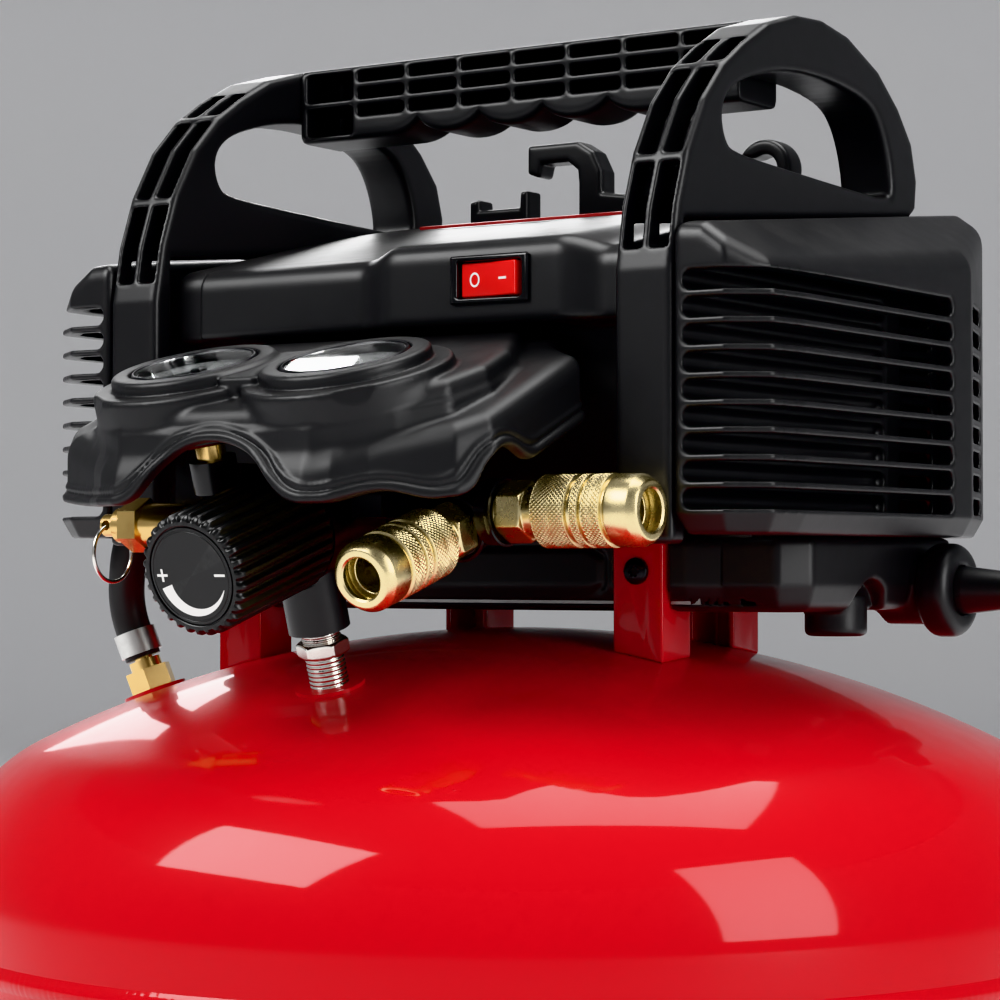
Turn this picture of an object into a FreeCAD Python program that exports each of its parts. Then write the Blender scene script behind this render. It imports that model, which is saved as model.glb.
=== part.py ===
"""Pancake air compressor: a dished steel tank with an oil-free belt-driven pump in a moulded shroud.

Frame: millimetres, +Z up, +X to the compressor's right, -Y to its front (the gauges' side).
The origin is on the ground, under the tank's axis.
"""
import FreeCAD, Part
import math
import os
import re
import Sketcher
from FreeCAD import Placement, Rotation, Vector

doc = FreeCAD.newDocument("AirCompressor")
sheet = doc.addObject("Spreadsheet::Sheet", "Sizes")

sizes = {
    # tank
    "tankRadius": 210, "tankHeight": 226, "tankLift": 27, "crownRadius": "=tankRadius * 40 / 21",
    "knuckleRadius": 60, "pumpSeat": "=tankLift + tankHeight", "shellWall": 2.5, "beadWidth": 8,
    "beadProud": 1.5, "bungRadius": 12, "bungProud": 1.2, "bungDepth": 9, "pipeRadius": 6.6,
    # feet and brackets, all folded from the same strip
    "stripWall": 2.5, "footCircle": "=tankRadius - 60", "footBracketLong": 32, "footBracketWide": 26,
    "footHeight": 22, "footRadius": 18, "footTaper": 4, "footScrewRadius": 3, "footScrewHead": 6,
    "footSink": 8, "bracketWide": 20, "bracketDeep": 20, "bracketTop": "=pumpSeat + 31",
    "bracketLeft": 111, "bracketRight": 64, "bracketFront": 40, "rearBracketX": 45, "rearBracketY": 45,
    # moulded housing
    "plasticWall": 2.5, "fitGap": 0.5, "shroudHalf": 153, "shroudFront": 94, "shroudRear": 107,
    "shroudBottom": "=pumpSeat + 33", "creaseY": 63, "rearHalf": 138, "cornerHalf": 150,
    "cornerFront": 80, "wallTopFront": "=pumpSeat + 123", "wallTopRear": "=pumpSeat + 144",
    "edgeTopFront": "=pumpSeat + 134", "edgeTopRear": "=pumpSeat + 156", "ventCount": 9,
    "ventPitch": 8.8, "ventSlot": 6.5, "ventLow": "=shroudBottom + 8", "ventRear": 48, "ventMargin": 4,
    "rearVentSide": 10, "coverFrontZ": "=pumpSeat + 130", "coverCrestY": 41,
    "coverCrestZ": "=pumpSeat + 158", "coverRearY": 84, "coverRearZ": "=pumpSeat + 163",
    "panelBottom": "=pumpSeat + 104", "panelStepX": 82, "panelFaceIn": 6, "panelBulgeLow": 6,
    "panelBulgeHigh": 75, "panelSideIn": 12, "recessY": 72,
    # carrying handle
    "archInner": 97, "archWide": 22, "archFoot": "=pumpSeat + 30", "archWall": 2.5, "archStrip": 10,
    "gripFront": 8, "gripTop": "=pumpSeat + 215", "gripTall": 30, "gripDeep": 28, "gripWall": 2.5,
    "gripPitch": 24, "fingerPitch": 28, "fingerDeep": 3.5, "fingerRadius": 26, "hookWide": 12,
    "hookThick": 6, "hookHigh": 24,
    # tray under the pump
    "trayHalf": 135, "trayFront": 38, "trayRear": 96, "trayBottom": "=pumpSeat + 7", "trayChamfer": 12,
    "cordY": 63, "cordZ": "=trayBottom + 7", "cordFlange": 17, "cordReach": 150, "reliefLong": 17,
    "reliefBase": 8.5, "reliefTip": 6.75, "reliefBore": 4.2, "bossX": 120, "bossY": 20,
    "bossRadius": 11, "bossDrop": 9,
    # pump and motor
    "crankY": 28, "crankZ": "=trayBottom + 60", "motorY": 45, "motorZ": "=trayBottom + 80",
    "shaftRadius": 5, "runFit": 0.05, "statorRadius": 42, "statorBore": 26.5, "statorStart": 15,
    "statorLong": 70, "rotorRadius": 26, "rotorGap": 4, "fanRadius": 48, "fanStart": 96, "fanLong": 16,
    "fanHub": 12, "fanBlades": 9, "bladeThick": 2.4, "beltPlane": 26, "beltWide": 12, "beltThick": 2.2,
    "pinionTeeth": 13, "pulleyTeeth": 50, "toothPitch": 4, "beltClear": 0.5, "throwRadius": 8,
    "crankPin": 5, "crankDisc": 16, "discThick": 6, "bearingRadius": 12, "bearingThick": 8,
    "openPivotGap": 0.8, "cylinderX": 70, "boreRadius": 26, "cylinderWall": 4,
    "cylinderLow": "=crankZ + 21", "cylinderTall": 21, "pistonGap": 0.05, "pistonTall": 8,
    "rodWide": 12, "plateHalf": 32, "plateThick": 3, "headTall": 15, "headFins": 6,
    "headBoltRadius": 2.5, "frameThick": 6, "frameWall": 8,
    # pneumatics, leaning forward with the console
    "consoleTilt": 17.3, "manifoldRadius": 10.5, "manifoldY": 100, "manifoldZ": "=pumpSeat + 40.5",
    "nippleTopY": 123.7, "nippleTopZ": "=pumpSeat + 1.9", "nippleLean": 17.2, "nippleHex": 8.5,
    "nippleBore": 4, "knobBackY": 142.4, "knobBackZ": "=pumpSeat + 34.6", "knobRadius": 20.35,
    "knobLong": 51, "knobRibs": 30, "knobCavity": "=knobRadius - 3.85", "knobFace": 4,
    "discRadius": "=knobRadius - 4.15", "discThin": 0.8, "bonnetRadius": "=knobCavity - 1",
    "bonnetLong": 34, "couplerRadius": 12, "couplerLong": 55.5, "couplerBore": "=couplerRadius - 5.55",
    "couplerTube": "=couplerRadius - 2.5", "couplerHex": "=couplerRadius - 1.5", "sleeveStart": 16,
    "sleeveTravel": 4, "lipThick": 2, "couplerFrontX": 48, "couplerFrontY": 113,
    "couplerFrontZ": "=pumpSeat + 35", "couplerSideX": 64.5, "couplerSideY": 108, "valveY": 125,
    "valveZ": "=pumpSeat + 37", "valveStart": 48, "valveTip": 86, "valveRadius": 7.5,
    "valveStemRadius": 4, "valveStemLong": 6.5, "ringRadius": 10, "ringWire": 0.7, "ringHole": 1.8,
    "shankLong": 5, "bossWide": 10, "nippleBoss": 10.5,
    # gauges and console
    "gaugeX": 31.25, "gaugeY": 152, "gaugeZ": "=pumpSeat + 90.5", "gaugeRadius": 21.5, "gaugeDeep": 25,
    "gaugeWall": 1.6, "lensThick": 1.5, "dialThick": 0.8, "dialDeep": 5, "needleLong": 15,
    "needlePin": 1.5, "stemRadius": 5, "stemHex": 8, "stemLong": 13, "collarRadius": 28.5,
    "collarHigh": 8, "consoleHalf": 87, "consoleFront": 159, "podHalf": 45.5, "podFront": 184,
    "consoleBottom": "=pumpSeat + 40", "consoleWall": 2.5, "archHalf": 32, "archTop": "=pumpSeat + 63",
    # switches
    "switchX": 49, "switchZ": "=coverFrontZ - 11", "switchLong": 31.5, "switchTall": 16.4,
    "switchProud": 1.5, "rockerLong": 23.3, "rockerTall": 11.5, "rockerDeep": 7, "rockerTilt": 7,
    "rockerGap": 1.2, "pressureLong": 30, "pressureHalf": 10, "pressureTall": 28,
    # hose and drain
    "hoseRadius": 6.75, "hoseBore": 3.5, "clampWall": 1.2, "clampWide": 9, "checkX": 126, "checkY": 59,
    "checkHex": 9, "drainY": 24, "drainZ": 14, "drainRadius": 7, "leverLong": 38, "leverThick": 1.5,
    "leverWide": 9, "screwRadius": 2.5, "screwHead": 4.5, "headThick": 3,
}
for row, (alias, value) in enumerate(sizes.items(), 1):
    sheet.set("A%d" % row, alias)
    sheet.set("B%d" % row, str(value))
    sheet.setAlias("B%d" % row, alias)
doc.recompute()

# ---- reading and binding sizes ----

aliasWord = re.compile(r"\b(%s)\b" % "|".join(sizes))
parts = []


def num(text):
    """The value of an expression in the sheet's names."""
    return float(sheet.evalExpression(str(text)))


def bind(item, prop, text):
    item.setExpression(prop, aliasWord.sub(r"Sizes.\1", str(text)))


def place(item, x="0", y="0", z="0", axis=(0, 0, 1), turn="0"):
    """Bind an item's place; turn is in degrees about axis."""
    item.Placement = Placement(Vector(num(x), num(y), num(z)), Rotation(Vector(*axis), num(turn)))
    for letter, text in zip("xyz", (x, y, z)):
        bind(item, "Placement.Base." + letter, text)
    if str(turn) != "0":
        bind(item, "Placement.Rotation.Angle", "(%s) * 1deg" % turn)
    return item


def keep(item, label):
    """Name an item as a finished sub-part."""
    item.Label = label
    parts.append(item)
    return item


# ---- Part primitives and booleans ----

def box(x, y, z, dx, dy, dz):
    item = doc.addObject("Part::Box", "Block")
    for prop, text in zip(("Length", "Width", "Height"), (dx, dy, dz)):
        bind(item, prop, text)
    return place(item, x, y, z)


def rod(radius, tall, x="0", y="0", z="0", axis=(0, 0, 1), turn="0"):
    item = doc.addObject("Part::Cylinder", "Round")
    bind(item, "Radius", radius)
    bind(item, "Height", tall)
    return place(item, x, y, z, axis, turn)


def ball(radius, z):
    item = doc.addObject("Part::Sphere", "Ball")
    bind(item, "Radius", radius)
    return place(item, "0", "0", z)


def hexagon(radius, tall, x="0", y="0", z="0", axis=(0, 0, 1), turn="0"):
    item = doc.addObject("Part::Prism", "Hexagon")
    item.Polygon = 6
    bind(item, "Circumradius", radius)
    bind(item, "Height", tall)
    return place(item, x, y, z, axis, turn)


def fuse(*items):
    item = doc.addObject("Part::MultiFuse", "Joined")
    item.Shapes = list(items)
    return item


def cut(base, *tools):
    item = doc.addObject("Part::Cut", "Trimmed")
    item.Base = base
    item.Tool = tools[0] if len(tools) == 1 else fuse(*tools)
    return item


def group(*items):
    item = doc.addObject("Part::Compound", "Set")
    item.Links = list(items)
    return item


def mirrored(source, normal=(1, 0, 0), base=(0, 0, 0)):
    item = doc.addObject("Part::Mirroring", "Mirrored")
    item.Source = source
    item.Normal = Vector(*normal)
    item.Base = Vector(*base)
    return item


def shaped(shape):
    item = doc.addObject("Part::Feature", "Formed")
    item.Shape = shape
    return item


# ---- PartDesign bodies from bound sketches ----

def newBody():
    return doc.addObject("PartDesign::Body", "Body")


def sketchOn(body, role, offset="0"):
    plane = [item for item in body.Origin.OriginFeatures if item.Role == role][0]
    sketch = body.newObject("Sketcher::SketchObject", "Sketch")
    sketch.AttachmentSupport = (plane, [""])
    sketch.MapMode = "FlatFace"
    bind(sketch, "AttachmentOffset.Base.z", offset)
    return sketch


def outline(sketch, points):
    """Close a bound outline. A point with a third value is reached by an arc of that radius:
    positive turns left along the path, negative turns right."""
    ends = [Vector(num(point[0]), num(point[1]), 0) for point in points]
    first = None
    last = None
    for index, point in enumerate(points):
        start = ends[index - 1]
        end = ends[index]
        if len(point) == 2:
            edge = sketch.addGeometry(Part.LineSegment(start, end))
            startEnd, finishEnd = 1, 2
        else:
            radius = num(point[2])
            chord = end - start
            side = Vector(-chord.y, chord.x, 0).normalize() * math.copysign(1, radius)
            rise = math.sqrt(max(radius ** 2 - chord.Length ** 2 / 4, 0))
            centre = (start + end) * 0.5 + side * rise
            low, high = (start, end) if radius > 0 else (end, start)
            angles = [math.atan2(spot.y - centre.y, spot.x - centre.x) for spot in (low, high)]
            if angles[1] < angles[0]:
                angles[1] += 2 * math.pi
            circle = Part.Circle(centre, Vector(0, 0, 1), abs(radius))
            edge = sketch.addGeometry(Part.ArcOfCircle(circle, angles[0], angles[1]))
            startEnd, finishEnd = (1, 2) if radius > 0 else (2, 1)
            at = sketch.addConstraint(Sketcher.Constraint("Radius", edge, abs(radius)))
            bind(sketch, "Constraints[%d]" % at, "abs(%s)" % point[2])
        for kind, value, text in (("DistanceX", end.x, point[0]), ("DistanceY", end.y, point[1])):
            at = sketch.addConstraint(Sketcher.Constraint(kind, -1, 1, edge, finishEnd, value))
            bind(sketch, "Constraints[%d]" % at, text)
        if last:
            sketch.addConstraint(Sketcher.Constraint("Coincident", last[0], last[1], edge, startEnd))
        else:
            first = (edge, startEnd)
        last = (edge, finishEnd)
    sketch.addConstraint(Sketcher.Constraint("Coincident", last[0], last[1], first[0], first[1]))
    return sketch


def circle(sketch, x, y, radius):
    at = Part.Circle(Vector(num(x), num(y), 0), Vector(0, 0, 1), num(radius))
    edge = sketch.addGeometry(at)
    named = (("DistanceX", x), ("DistanceY", y))
    for kind, text in named:
        where = sketch.addConstraint(Sketcher.Constraint(kind, -1, 1, edge, 3, num(text)))
        bind(sketch, "Constraints[%d]" % where, text)
    where = sketch.addConstraint(Sketcher.Constraint("Radius", edge, num(radius)))
    bind(sketch, "Constraints[%d]" % where, radius)
    return sketch


def spin(body, points):
    """A revolved feature from an outline of (radius, height)."""
    sketch = outline(sketchOn(body, "XZ_Plane"), points)
    feature = body.newObject("PartDesign::Revolution", "Revolved")
    feature.Profile = sketch
    feature.ReferenceAxis = (sketch, ["V_Axis"])
    feature.Angle = 360
    return feature


def pad(body, sketch, long):
    feature = body.newObject("PartDesign::Pad", "Pad")
    feature.Profile = sketch
    bind(feature, "Length", long)
    return feature


def pocket(body, sketch, deep, along=True):
    """Cut along the sketch's normal, or against it."""
    feature = body.newObject("PartDesign::Pocket", "Pocket")
    feature.Profile = sketch
    feature.Reversed = along
    bind(feature, "Length", deep)
    return feature


def turned(points):
    body = newBody()
    spin(body, points)
    return body


def prism(role, points, start, long):
    body = newBody()
    pad(body, outline(sketchOn(body, role, start), points), long)
    return body


def around(body, feature, count):
    """Repeat a feature round the body's Z axis."""
    pattern = body.newObject("PartDesign::PolarPattern", "Pattern")
    pattern.Originals = [feature]
    axis = [item for item in body.Origin.OriginFeatures if item.Role == "Z_Axis"][0]
    pattern.Axis = (axis, [""])
    pattern.Angle = 360
    bind(pattern, "Occurrences", count)
    body.Tip = pattern
    return pattern


# ---- places worked out from the driving sizes ----

seamZ = "(tankLift + tankHeight / 2)"
tankTop = "(tankLift + tankHeight)"
crownCentre = "(tankLift + tankHeight - crownRadius)"
kneeX = "(tankRadius - knuckleRadius)"
kneeDrop = "sqrt(pow(crownRadius - knuckleRadius; 2) - pow(tankRadius - knuckleRadius; 2))"
gaugeLean = "consoleTilt"
knobLean = "(consoleTilt + 90)"


def domeHeight(x, y):
    """Height of the top dome over a point within its crown."""
    return "(%s + sqrt(pow(crownRadius; 2) - pow(%s; 2) - pow(%s; 2)))" % (crownCentre, x, y)


# ---- tank ----

def headOutline(side):
    """The shell's section from the apex to the seam; side is 1 for the top and -1 for the bottom."""
    flip = "%s + %d * (%s - %s)"
    apex = tankTop
    kneeZ = "(%s + %s)" % (crownCentre, kneeDrop)
    reach = "(%s * (%%s) / (crownRadius - knuckleRadius))" % kneeX
    fall = "(%s + %s * (%%s) / (crownRadius - knuckleRadius))" % (crownCentre, kneeDrop)
    outer = "crownRadius"
    inner = "crownRadius - shellWall"
    height = lambda text: flip % (seamZ, side, text, seamZ)
    turn = "%d * (%s)"
    return [
        ("0", height(apex)),
        (reach % outer, height(fall % outer), turn % (-side, "crownRadius")),
        ("tankRadius", height(kneeZ), turn % (-side, "knuckleRadius")),
        ("tankRadius", seamZ),
        ("tankRadius - shellWall", seamZ),
        ("tankRadius - shellWall", height(kneeZ)),
        (reach % inner, height(fall % inner), turn % (side, "knuckleRadius - shellWall")),
        ("0", height(apex + " - shellWall"), turn % (side, inner)),
    ]


nippleTilt = "nippleLean"
nippleFootY = "(-nippleTopY + (nippleTopZ - %s) * tan(nippleLean))" % domeHeight("0", "nippleTopY - 5.5")
nippleFootZ = domeHeight("0", "nippleTopY - 5.5")
checkTurn = "(asin(sqrt(pow(checkX; 2) + pow(checkY; 2)) / crownRadius) / 1deg)"
checkZ = domeHeight("checkX", "checkY")
checkSpan = math.hypot(sizes["checkX"], sizes["checkY"])
checkAxis = (sizes["checkY"] / checkSpan, -sizes["checkX"] / checkSpan, 0)


def onNipple(item_maker, *args, drop="0"):
    """Place a round piece on the nipple's leaning axis, starting drop below the dome."""
    y = "%s + (%s) * sin(nippleLean)" % (nippleFootY, drop)
    z = "%s - (%s) * cos(nippleLean)" % (nippleFootZ, drop)
    return item_maker(*args, "0", y, z, (1, 0, 0), nippleTilt)


def onCheck(item_maker, *args, drop="0"):
    """Place a round piece on the check valve's axis, square to the dome."""
    x = "-checkX * (1 - (%s) / crownRadius)" % drop
    y = "-checkY * (1 - (%s) / crownRadius)" % drop
    z = "%s + (%s - %s) * (1 - (%s) / crownRadius)" % (crownCentre, checkZ, crownCentre, drop)
    return item_maker(*args, x, y, z, checkAxis, checkTurn)


def makeTank():
    topHead = cut(
        turned(headOutline(1)),
        onNipple(rod, "bungRadius", "bungDepth * 3", drop="bungDepth * 2"),
        onCheck(rod, "bungRadius", "bungDepth * 3", drop="bungDepth * 2"))
    keep(topHead, "tank_top_head")
    bottom = turned(headOutline(-1))
    bead = turned([
        ("tankRadius", seamZ + " - beadWidth / 2"),
        ("tankRadius + beadProud", seamZ + " - beadWidth / 4"),
        ("tankRadius + beadProud", seamZ + " + beadWidth / 4"),
        ("tankRadius", seamZ + " + beadWidth / 2"),
        ("tankRadius - shellWall / 2", seamZ),
    ])
    lower = cut(bead, ring("tankRadius", "tankRadius - shellWall", seamZ, "beadWidth"))
    bottomHead = cut(fuse(bottom, lower), rod("bungRadius", "bungDepth * 2", z="tankLift - bungDepth / 2"))
    keep(bottomHead, "tank_bottom_head")
    bungs = []
    for onAxis in (onNipple, onCheck):
        plug = onAxis(rod, "bungRadius", "bungDepth + bungProud", drop="bungDepth")
        bore = onAxis(rod, "pipeRadius", "bungDepth * 2", drop="bungDepth * 1.5")
        bungs.append(cut(plug, bore))
    plug = rod("bungRadius", "bungDepth + bungProud", z="tankLift - bungProud")
    bore = rod("pipeRadius", "bungDepth * 2", z="tankLift - bungDepth / 2")
    bungs.append(cut(plug, bore))
    keep(group(*bungs), "tank_bungs")


def ring(outer, inner, z, tall):
    return cut(rod(outer, tall, z=z), rod(inner, tall + " + 2", z=z + " - 1"))


# ---- feet ----

def makeFeet():
    brackets = []
    feet = []
    screws = []
    seat = "footHeight"
    for index in range(4):
        angle = str(45 + 90 * index)
        x = "footCircle * cos(%s)" % angle
        y = "footCircle * sin(%s)" % angle
        top = "(tankLift + tankHeight / 2)"
        shell = box("-footBracketLong / 2", "-footBracketWide / 2", seat,
                    "footBracketLong", "footBracketWide", top + " - " + seat)
        hollow = box("-footBracketLong / 2 - 1", "-footBracketWide / 2 + stripWall", seat + " + stripWall",
                     "footBracketLong + 2", "footBracketWide - 2 * stripWall", top)
        hole = rod("footScrewRadius + 0.2", "stripWall * 3", z=seat + " - stripWall")
        channel = place(cut(shell, hollow, hole), x, y, "0", (0, 0, 1), angle)
        brackets.append(cut(channel, ball("crownRadius", "tankLift + crownRadius")))
        foot = turned([
            ("footScrewRadius + 0.2", "footHeight"),
            ("footScrewRadius + 0.2", "footSink"),
            ("footScrewHead + 1", "footSink"),
            ("footScrewHead + 1", "0"),
            ("footRadius", "0"),
            ("footRadius - footTaper", "footHeight"),
        ])
        feet.append(place(foot, x, y, "0"))
        screw = turned([
            ("0", "footSink - headThick"),
            ("footScrewHead", "footSink - headThick"),
            ("footScrewHead", "footSink"),
            ("footScrewRadius", "footSink"),
            ("footScrewRadius", "footHeight + stripWall + 3"),
            ("0", "footHeight + stripWall + 3"),
        ])
        screws.append(place(screw, x, y, "0"))
    keep(group(*brackets), "foot_brackets")
    keep(group(*feet), "rubber_feet")
    keep(group(*screws), "foot_screws")


# ---- brackets that carry the pump on the dome ----

def bracket(x, y, opens):
    """A folded channel; its web is at the front, or at the rear when opens is -1."""
    low = tankTop + " - 60"
    shell = box(x, y, low, "bracketWide", "bracketDeep", "bracketTop - (%s)" % low)
    shift = "stripWall" if opens == 1 else "-1"
    hollow = box(x + " + stripWall", "%s + %s" % (y, shift), low + " - 1",
                 "bracketWide - 2 * stripWall", "bracketDeep - stripWall + 1", "bracketTop")
    webY = y if opens == 1 else y + " + bracketDeep"
    hole = rod("screwRadius + 0.2", "stripWall * 4", x + " + bracketWide / 2",
               webY + " + stripWall * 2", "bracketTop - 10", (1, 0, 0), "90")
    return cut(shell, hollow, hole, ball("crownRadius", crownCentre))


frontBracketX = ("-bracketLeft", "bracketRight")
rearBracketX = ("-rearBracketX - bracketWide", "rearBracketX")


def makeBrackets():
    keep(group(*[bracket(x, "-bracketFront", 1) for x in frontBracketX]), "front_tank_brackets")
    keep(group(*[bracket(x, "rearBracketY", -1) for x in rearBracketX]), "rear_tank_brackets")


# ---- tray, strain relief ----

def makeTray():
    corner = "trayHalf - trayChamfer"
    plan = [
        ("-(%s)" % corner, "-trayFront"), (corner, "-trayFront"),
        ("trayHalf", "-trayFront + trayChamfer"), ("trayHalf", "trayRear - trayChamfer"),
        (corner, "trayRear"), ("-(%s)" % corner, "trayRear"),
        ("-trayHalf", "trayRear - trayChamfer"), ("-trayHalf", "-trayFront + trayChamfer"),
    ]
    inset = "plasticWall"
    inner = [("%s * (1 - %s / trayHalf)" % (x, inset), "(%s) - %s * ((%s) > 0 ? 1 : -1)" % (y, inset, y))
             for x, y in plan]
    tray = prism("XY_Plane", plan, "trayBottom", "shroudBottom - trayBottom")
    pocket(tray, outline(sketchOn(tray, "XY_Plane", "trayBottom + plasticWall"), inner),
           "shroudBottom - trayBottom", True)
    arm = rod("cordFlange", "cordReach - trayHalf + plasticWall", "trayHalf - plasticWall",
              "cordY", "cordZ", (0, 1, 0), "90")
    boss = rod("bossRadius", "bossDrop", "bossX", "bossY", "trayBottom - bossDrop")
    tools = [rod("reliefBase", "cordReach", "trayHalf - 2 * plasticWall", "cordY", "cordZ", (0, 1, 0), "90")]
    gap = "fitGap"
    spots = [(x, "-bracketFront") for x in frontBracketX] + [(x, "rearBracketY") for x in rearBracketX]
    for x, y in spots:
        tools.append(box(x + " - " + gap, y + " - 1", "trayBottom - 1", "bracketWide + 2 * " + gap,
                         "bracketDeep + 1 + " + gap, "bracketTop - trayBottom + 1 + " + gap))
    keep(cut(fuse(tray, arm, boss), *tools), "lower_housing")
    relief = turned([
        ("reliefBore", "-plasticWall * 2"), ("reliefBase", "-plasticWall * 2"), ("reliefBase", "2"),
        ("reliefTip", "reliefLong"), ("reliefBore", "reliefLong"),
    ])
    keep(place(relief, "cordReach", "cordY", "cordZ", (0, 1, 0), "90"), "strain_relief")


# ---- shroud ----

def sidePlan(inset):
    """Plan of the right side wall, moved in by inset."""
    points = [
        (num("archInner") - 10, -num("shroudFront")), (num("archInner + archWide"), -num("shroudFront")),
        (num("cornerHalf"), -num("cornerFront")), (num("shroudHalf"), -num("cornerFront") + 15),
        (num("shroudHalf"), num("creaseY")), (num("rearHalf"), num("shroudRear")),
        (num("archInner") - 10, num("shroudRear")),
    ]
    face = Part.Face(Part.makePolygon([Vector(x, y, 0) for x, y in points + points[:1]]))
    return face.makeOffset2D(-inset, 2) if inset else face


def underRoof(drop):
    """Space under the side's sloping roof, lowered by drop."""
    inner = num("archInner")
    edge = num("archInner + archWide")
    reach = num("shroudHalf") + 20
    slope = (reach - edge) / (num("shroudHalf") - edge)
    sections = []
    for y, wallTop, edgeTop in ((-num("shroudFront"), "wallTopFront", "edgeTopFront"),
                                (num("shroudRear"), "wallTopRear", "edgeTopRear")):
        high = num(edgeTop) - drop
        low = high + (num(wallTop) - num(edgeTop)) * slope
        y += math.copysign(5, y)
        base = num("trayBottom") - 20
        corners = [(inner - 20, high), (edge, high), (reach, low), (reach, base), (inner - 20, base)]
        sections.append(Part.makePolygon([Vector(x, y, z) for x, z in corners + corners[:1]]))
    return Part.makeLoft(sections, True, True)


def sideShape():
    """A shell with rows of vent slots that run round the front corner."""
    bottom = num("shroudBottom")
    tall = 200
    wall = num("plasticWall")
    up = Vector(0, 0, tall)
    outer = sidePlan(0).extrude(up)
    outer.translate(Vector(0, 0, bottom))
    inner = sidePlan(wall).extrude(up)
    inner.translate(Vector(0, 0, bottom - 1))
    shell = outer.common(underRoof(0)).cut(inner.common(underRoof(wall)))
    edge = num("archInner + archWide") + num("fitGap") / 5
    shell = shell.cut(Part.makeBox(100, 400, 400, Vector(edge - 100, -200, bottom - 100)))
    slots = []
    margin = num("ventMargin")
    for index in range(int(num("ventCount"))):
        z = num("ventLow") + index * num("ventPitch")
        start = Vector(edge + margin, -200, z)
        slots.append(Part.makeBox(100, 200 + num("ventRear"), num("ventSlot"), start))
        rearStart = Vector(edge + margin * 3, num("creaseY") + margin, z)
        rearLong = num("shroudRear - creaseY") - margin - num("rearVentSide")
        slots.append(Part.makeBox(100, rearLong, num("ventSlot"), rearStart))
    inside = sidePlan(wall + 6).extrude(up)
    inside.translate(Vector(0, 0, bottom))
    return shell.cut(Part.Compound(slots).cut(inside))


def rearShape():
    """The wall between the two sides, with its roof's rear edge."""
    half = num("archInner + archWide")
    wall = num("plasticWall")
    bottom = num("shroudBottom")
    high = num("coverRearZ") - 8
    panel = Part.makeBox(2 * half, wall, high - bottom, Vector(-half, num("shroudRear") - wall, bottom))
    slots = []
    wide = num("archInner") - 30
    for index in range(int(num("ventCount"))):
        z = num("ventLow") + index * num("ventPitch")
        for x in (-wide - 5, 5):
            start = Vector(x, num("shroudRear") - wall * 2, z)
            slots.append(Part.makeBox(wide, wall * 3, num("ventSlot"), start))
    return panel.cut(Part.Compound(slots))


def frontShape():
    """The front panel with its switch bulge, the recess behind the console and the top cover."""
    half = num("archInner") - num("fitGap") / 5
    wall = num("plasticWall")
    front = -num("shroudFront")
    low = num("panelBottom")
    top = num("coverFrontZ")
    faceY = front + num("panelFaceIn")
    sideY = front + num("panelSideIn")
    step = num("panelStepX")
    plan = [(-half, sideY), (-step - 2, sideY), (-step + 2, faceY), (0, faceY),
            (num("panelBulgeLow"), front), (num("panelBulgeHigh"), front),
            (num("panelBulgeHigh") + 4, sideY), (half, sideY)]
    back = -num("recessY")
    ring = [Vector(x, y, low) for x, y in plan + [(half, back), (-half, back)]]
    hull = Part.Face(Part.makePolygon(ring + ring[:1])).extrude(Vector(0, 0, top - low))
    inner = [(x * (1 - wall / half), y + wall) for x, y in plan]
    inner += [(half - wall, back + 1), (wall - half, back + 1)]
    core = [Vector(x, y, low + wall) for x, y in inner]
    hull = hull.cut(Part.Face(Part.makePolygon(core + core[:1])).extrude(Vector(0, 0, top - low - 2 * wall)))
    bottom = num("shroudBottom")
    recess = Part.makeBox(2 * half, wall, top - bottom, Vector(-half, back, bottom))
    roof = [(back, top - wall), (num("coverCrestY"), num("coverCrestZ") - wall),
            (num("coverRearY"), num("coverRearZ") - wall),
            (num("shroudRear"), num("coverRearZ") - 8 - wall), (num("shroudRear"), num("coverRearZ") - 8),
            (num("coverRearY"), num("coverRearZ")), (num("coverCrestY"), num("coverCrestZ")), (back, top)]
    side = [Vector(-half, y, z) for y, z in roof]
    cover = Part.Face(Part.makePolygon(side + side[:1])).extrude(Vector(2 * half, 0, 0))
    shape = hull.fuse([recess, cover]).removeSplitter()
    gap = num("fitGap") / 5
    hole = Part.makeBox(num("switchLong") - 4 + gap, 60, num("switchTall") - 4 + gap,
                        Vector(num("switchX - switchLong / 2") + 2 - gap / 2, front - 5,
                               num("switchZ - switchTall / 2") + 2 - gap / 2))
    hole = hole.common(Part.makeBox(200, 5 + wall * 2, 400, Vector(0, front - 5, 200)))
    rear = Part.makeBox(2 * half + 2, wall, 200, Vector(-half - 1, num("shroudRear") - wall,
                        num("coverRearZ") - 8 - 200))
    return shape.cut(hole).cut(rear)


def makeShroud():
    right = keep(shaped(sideShape()), "shroud_right")
    keep(mirrored(right), "shroud_left")
    keep(shaped(rearShape()), "shroud_rear")
    return keep(shaped(frontShape()), "shroud_front")


# ---- carrying handle ----

def archPoints():
    """Outline of one side arch in Y and Z, with its long front strip."""
    front = "-shroudFront"
    return [
        (front, "archFoot"), (front + " + archStrip", "archFoot"),
        (front + " + archStrip", "edgeTopFront"), ("coverRearY", "edgeTopRear - 3"),
        ("coverRearY + 6", "edgeTopRear"), ("coverRearY + 6", "edgeTopRear + 12"),
        ("coverRearY - 6", "edgeTopRear + 35", "60"), ("58", "pumpSeat + 205", "60"),
        ("16", "pumpSeat + 214", "90"), ("1", "pumpSeat + 216"), ("-13", "pumpSeat + 210"),
        ("-36", "pumpSeat + 208"), (front, "pumpSeat + 125", "86"),
    ]


def windowPoints():
    return [
        ("-51", "pumpSeat + 163"), ("41", "pumpSeat + 159"), ("67", "pumpSeat + 160"),
        ("65.5", "pumpSeat + 175"), ("53", "pumpSeat + 190.5", "24"),
        ("8", "pumpSeat + 194.5", "120"), ("-28", "pumpSeat + 191.5", "200"),
        ("-51", "pumpSeat + 182.5", "60"), ("-58", "pumpSeat + 172", "16"),
    ]


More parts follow.
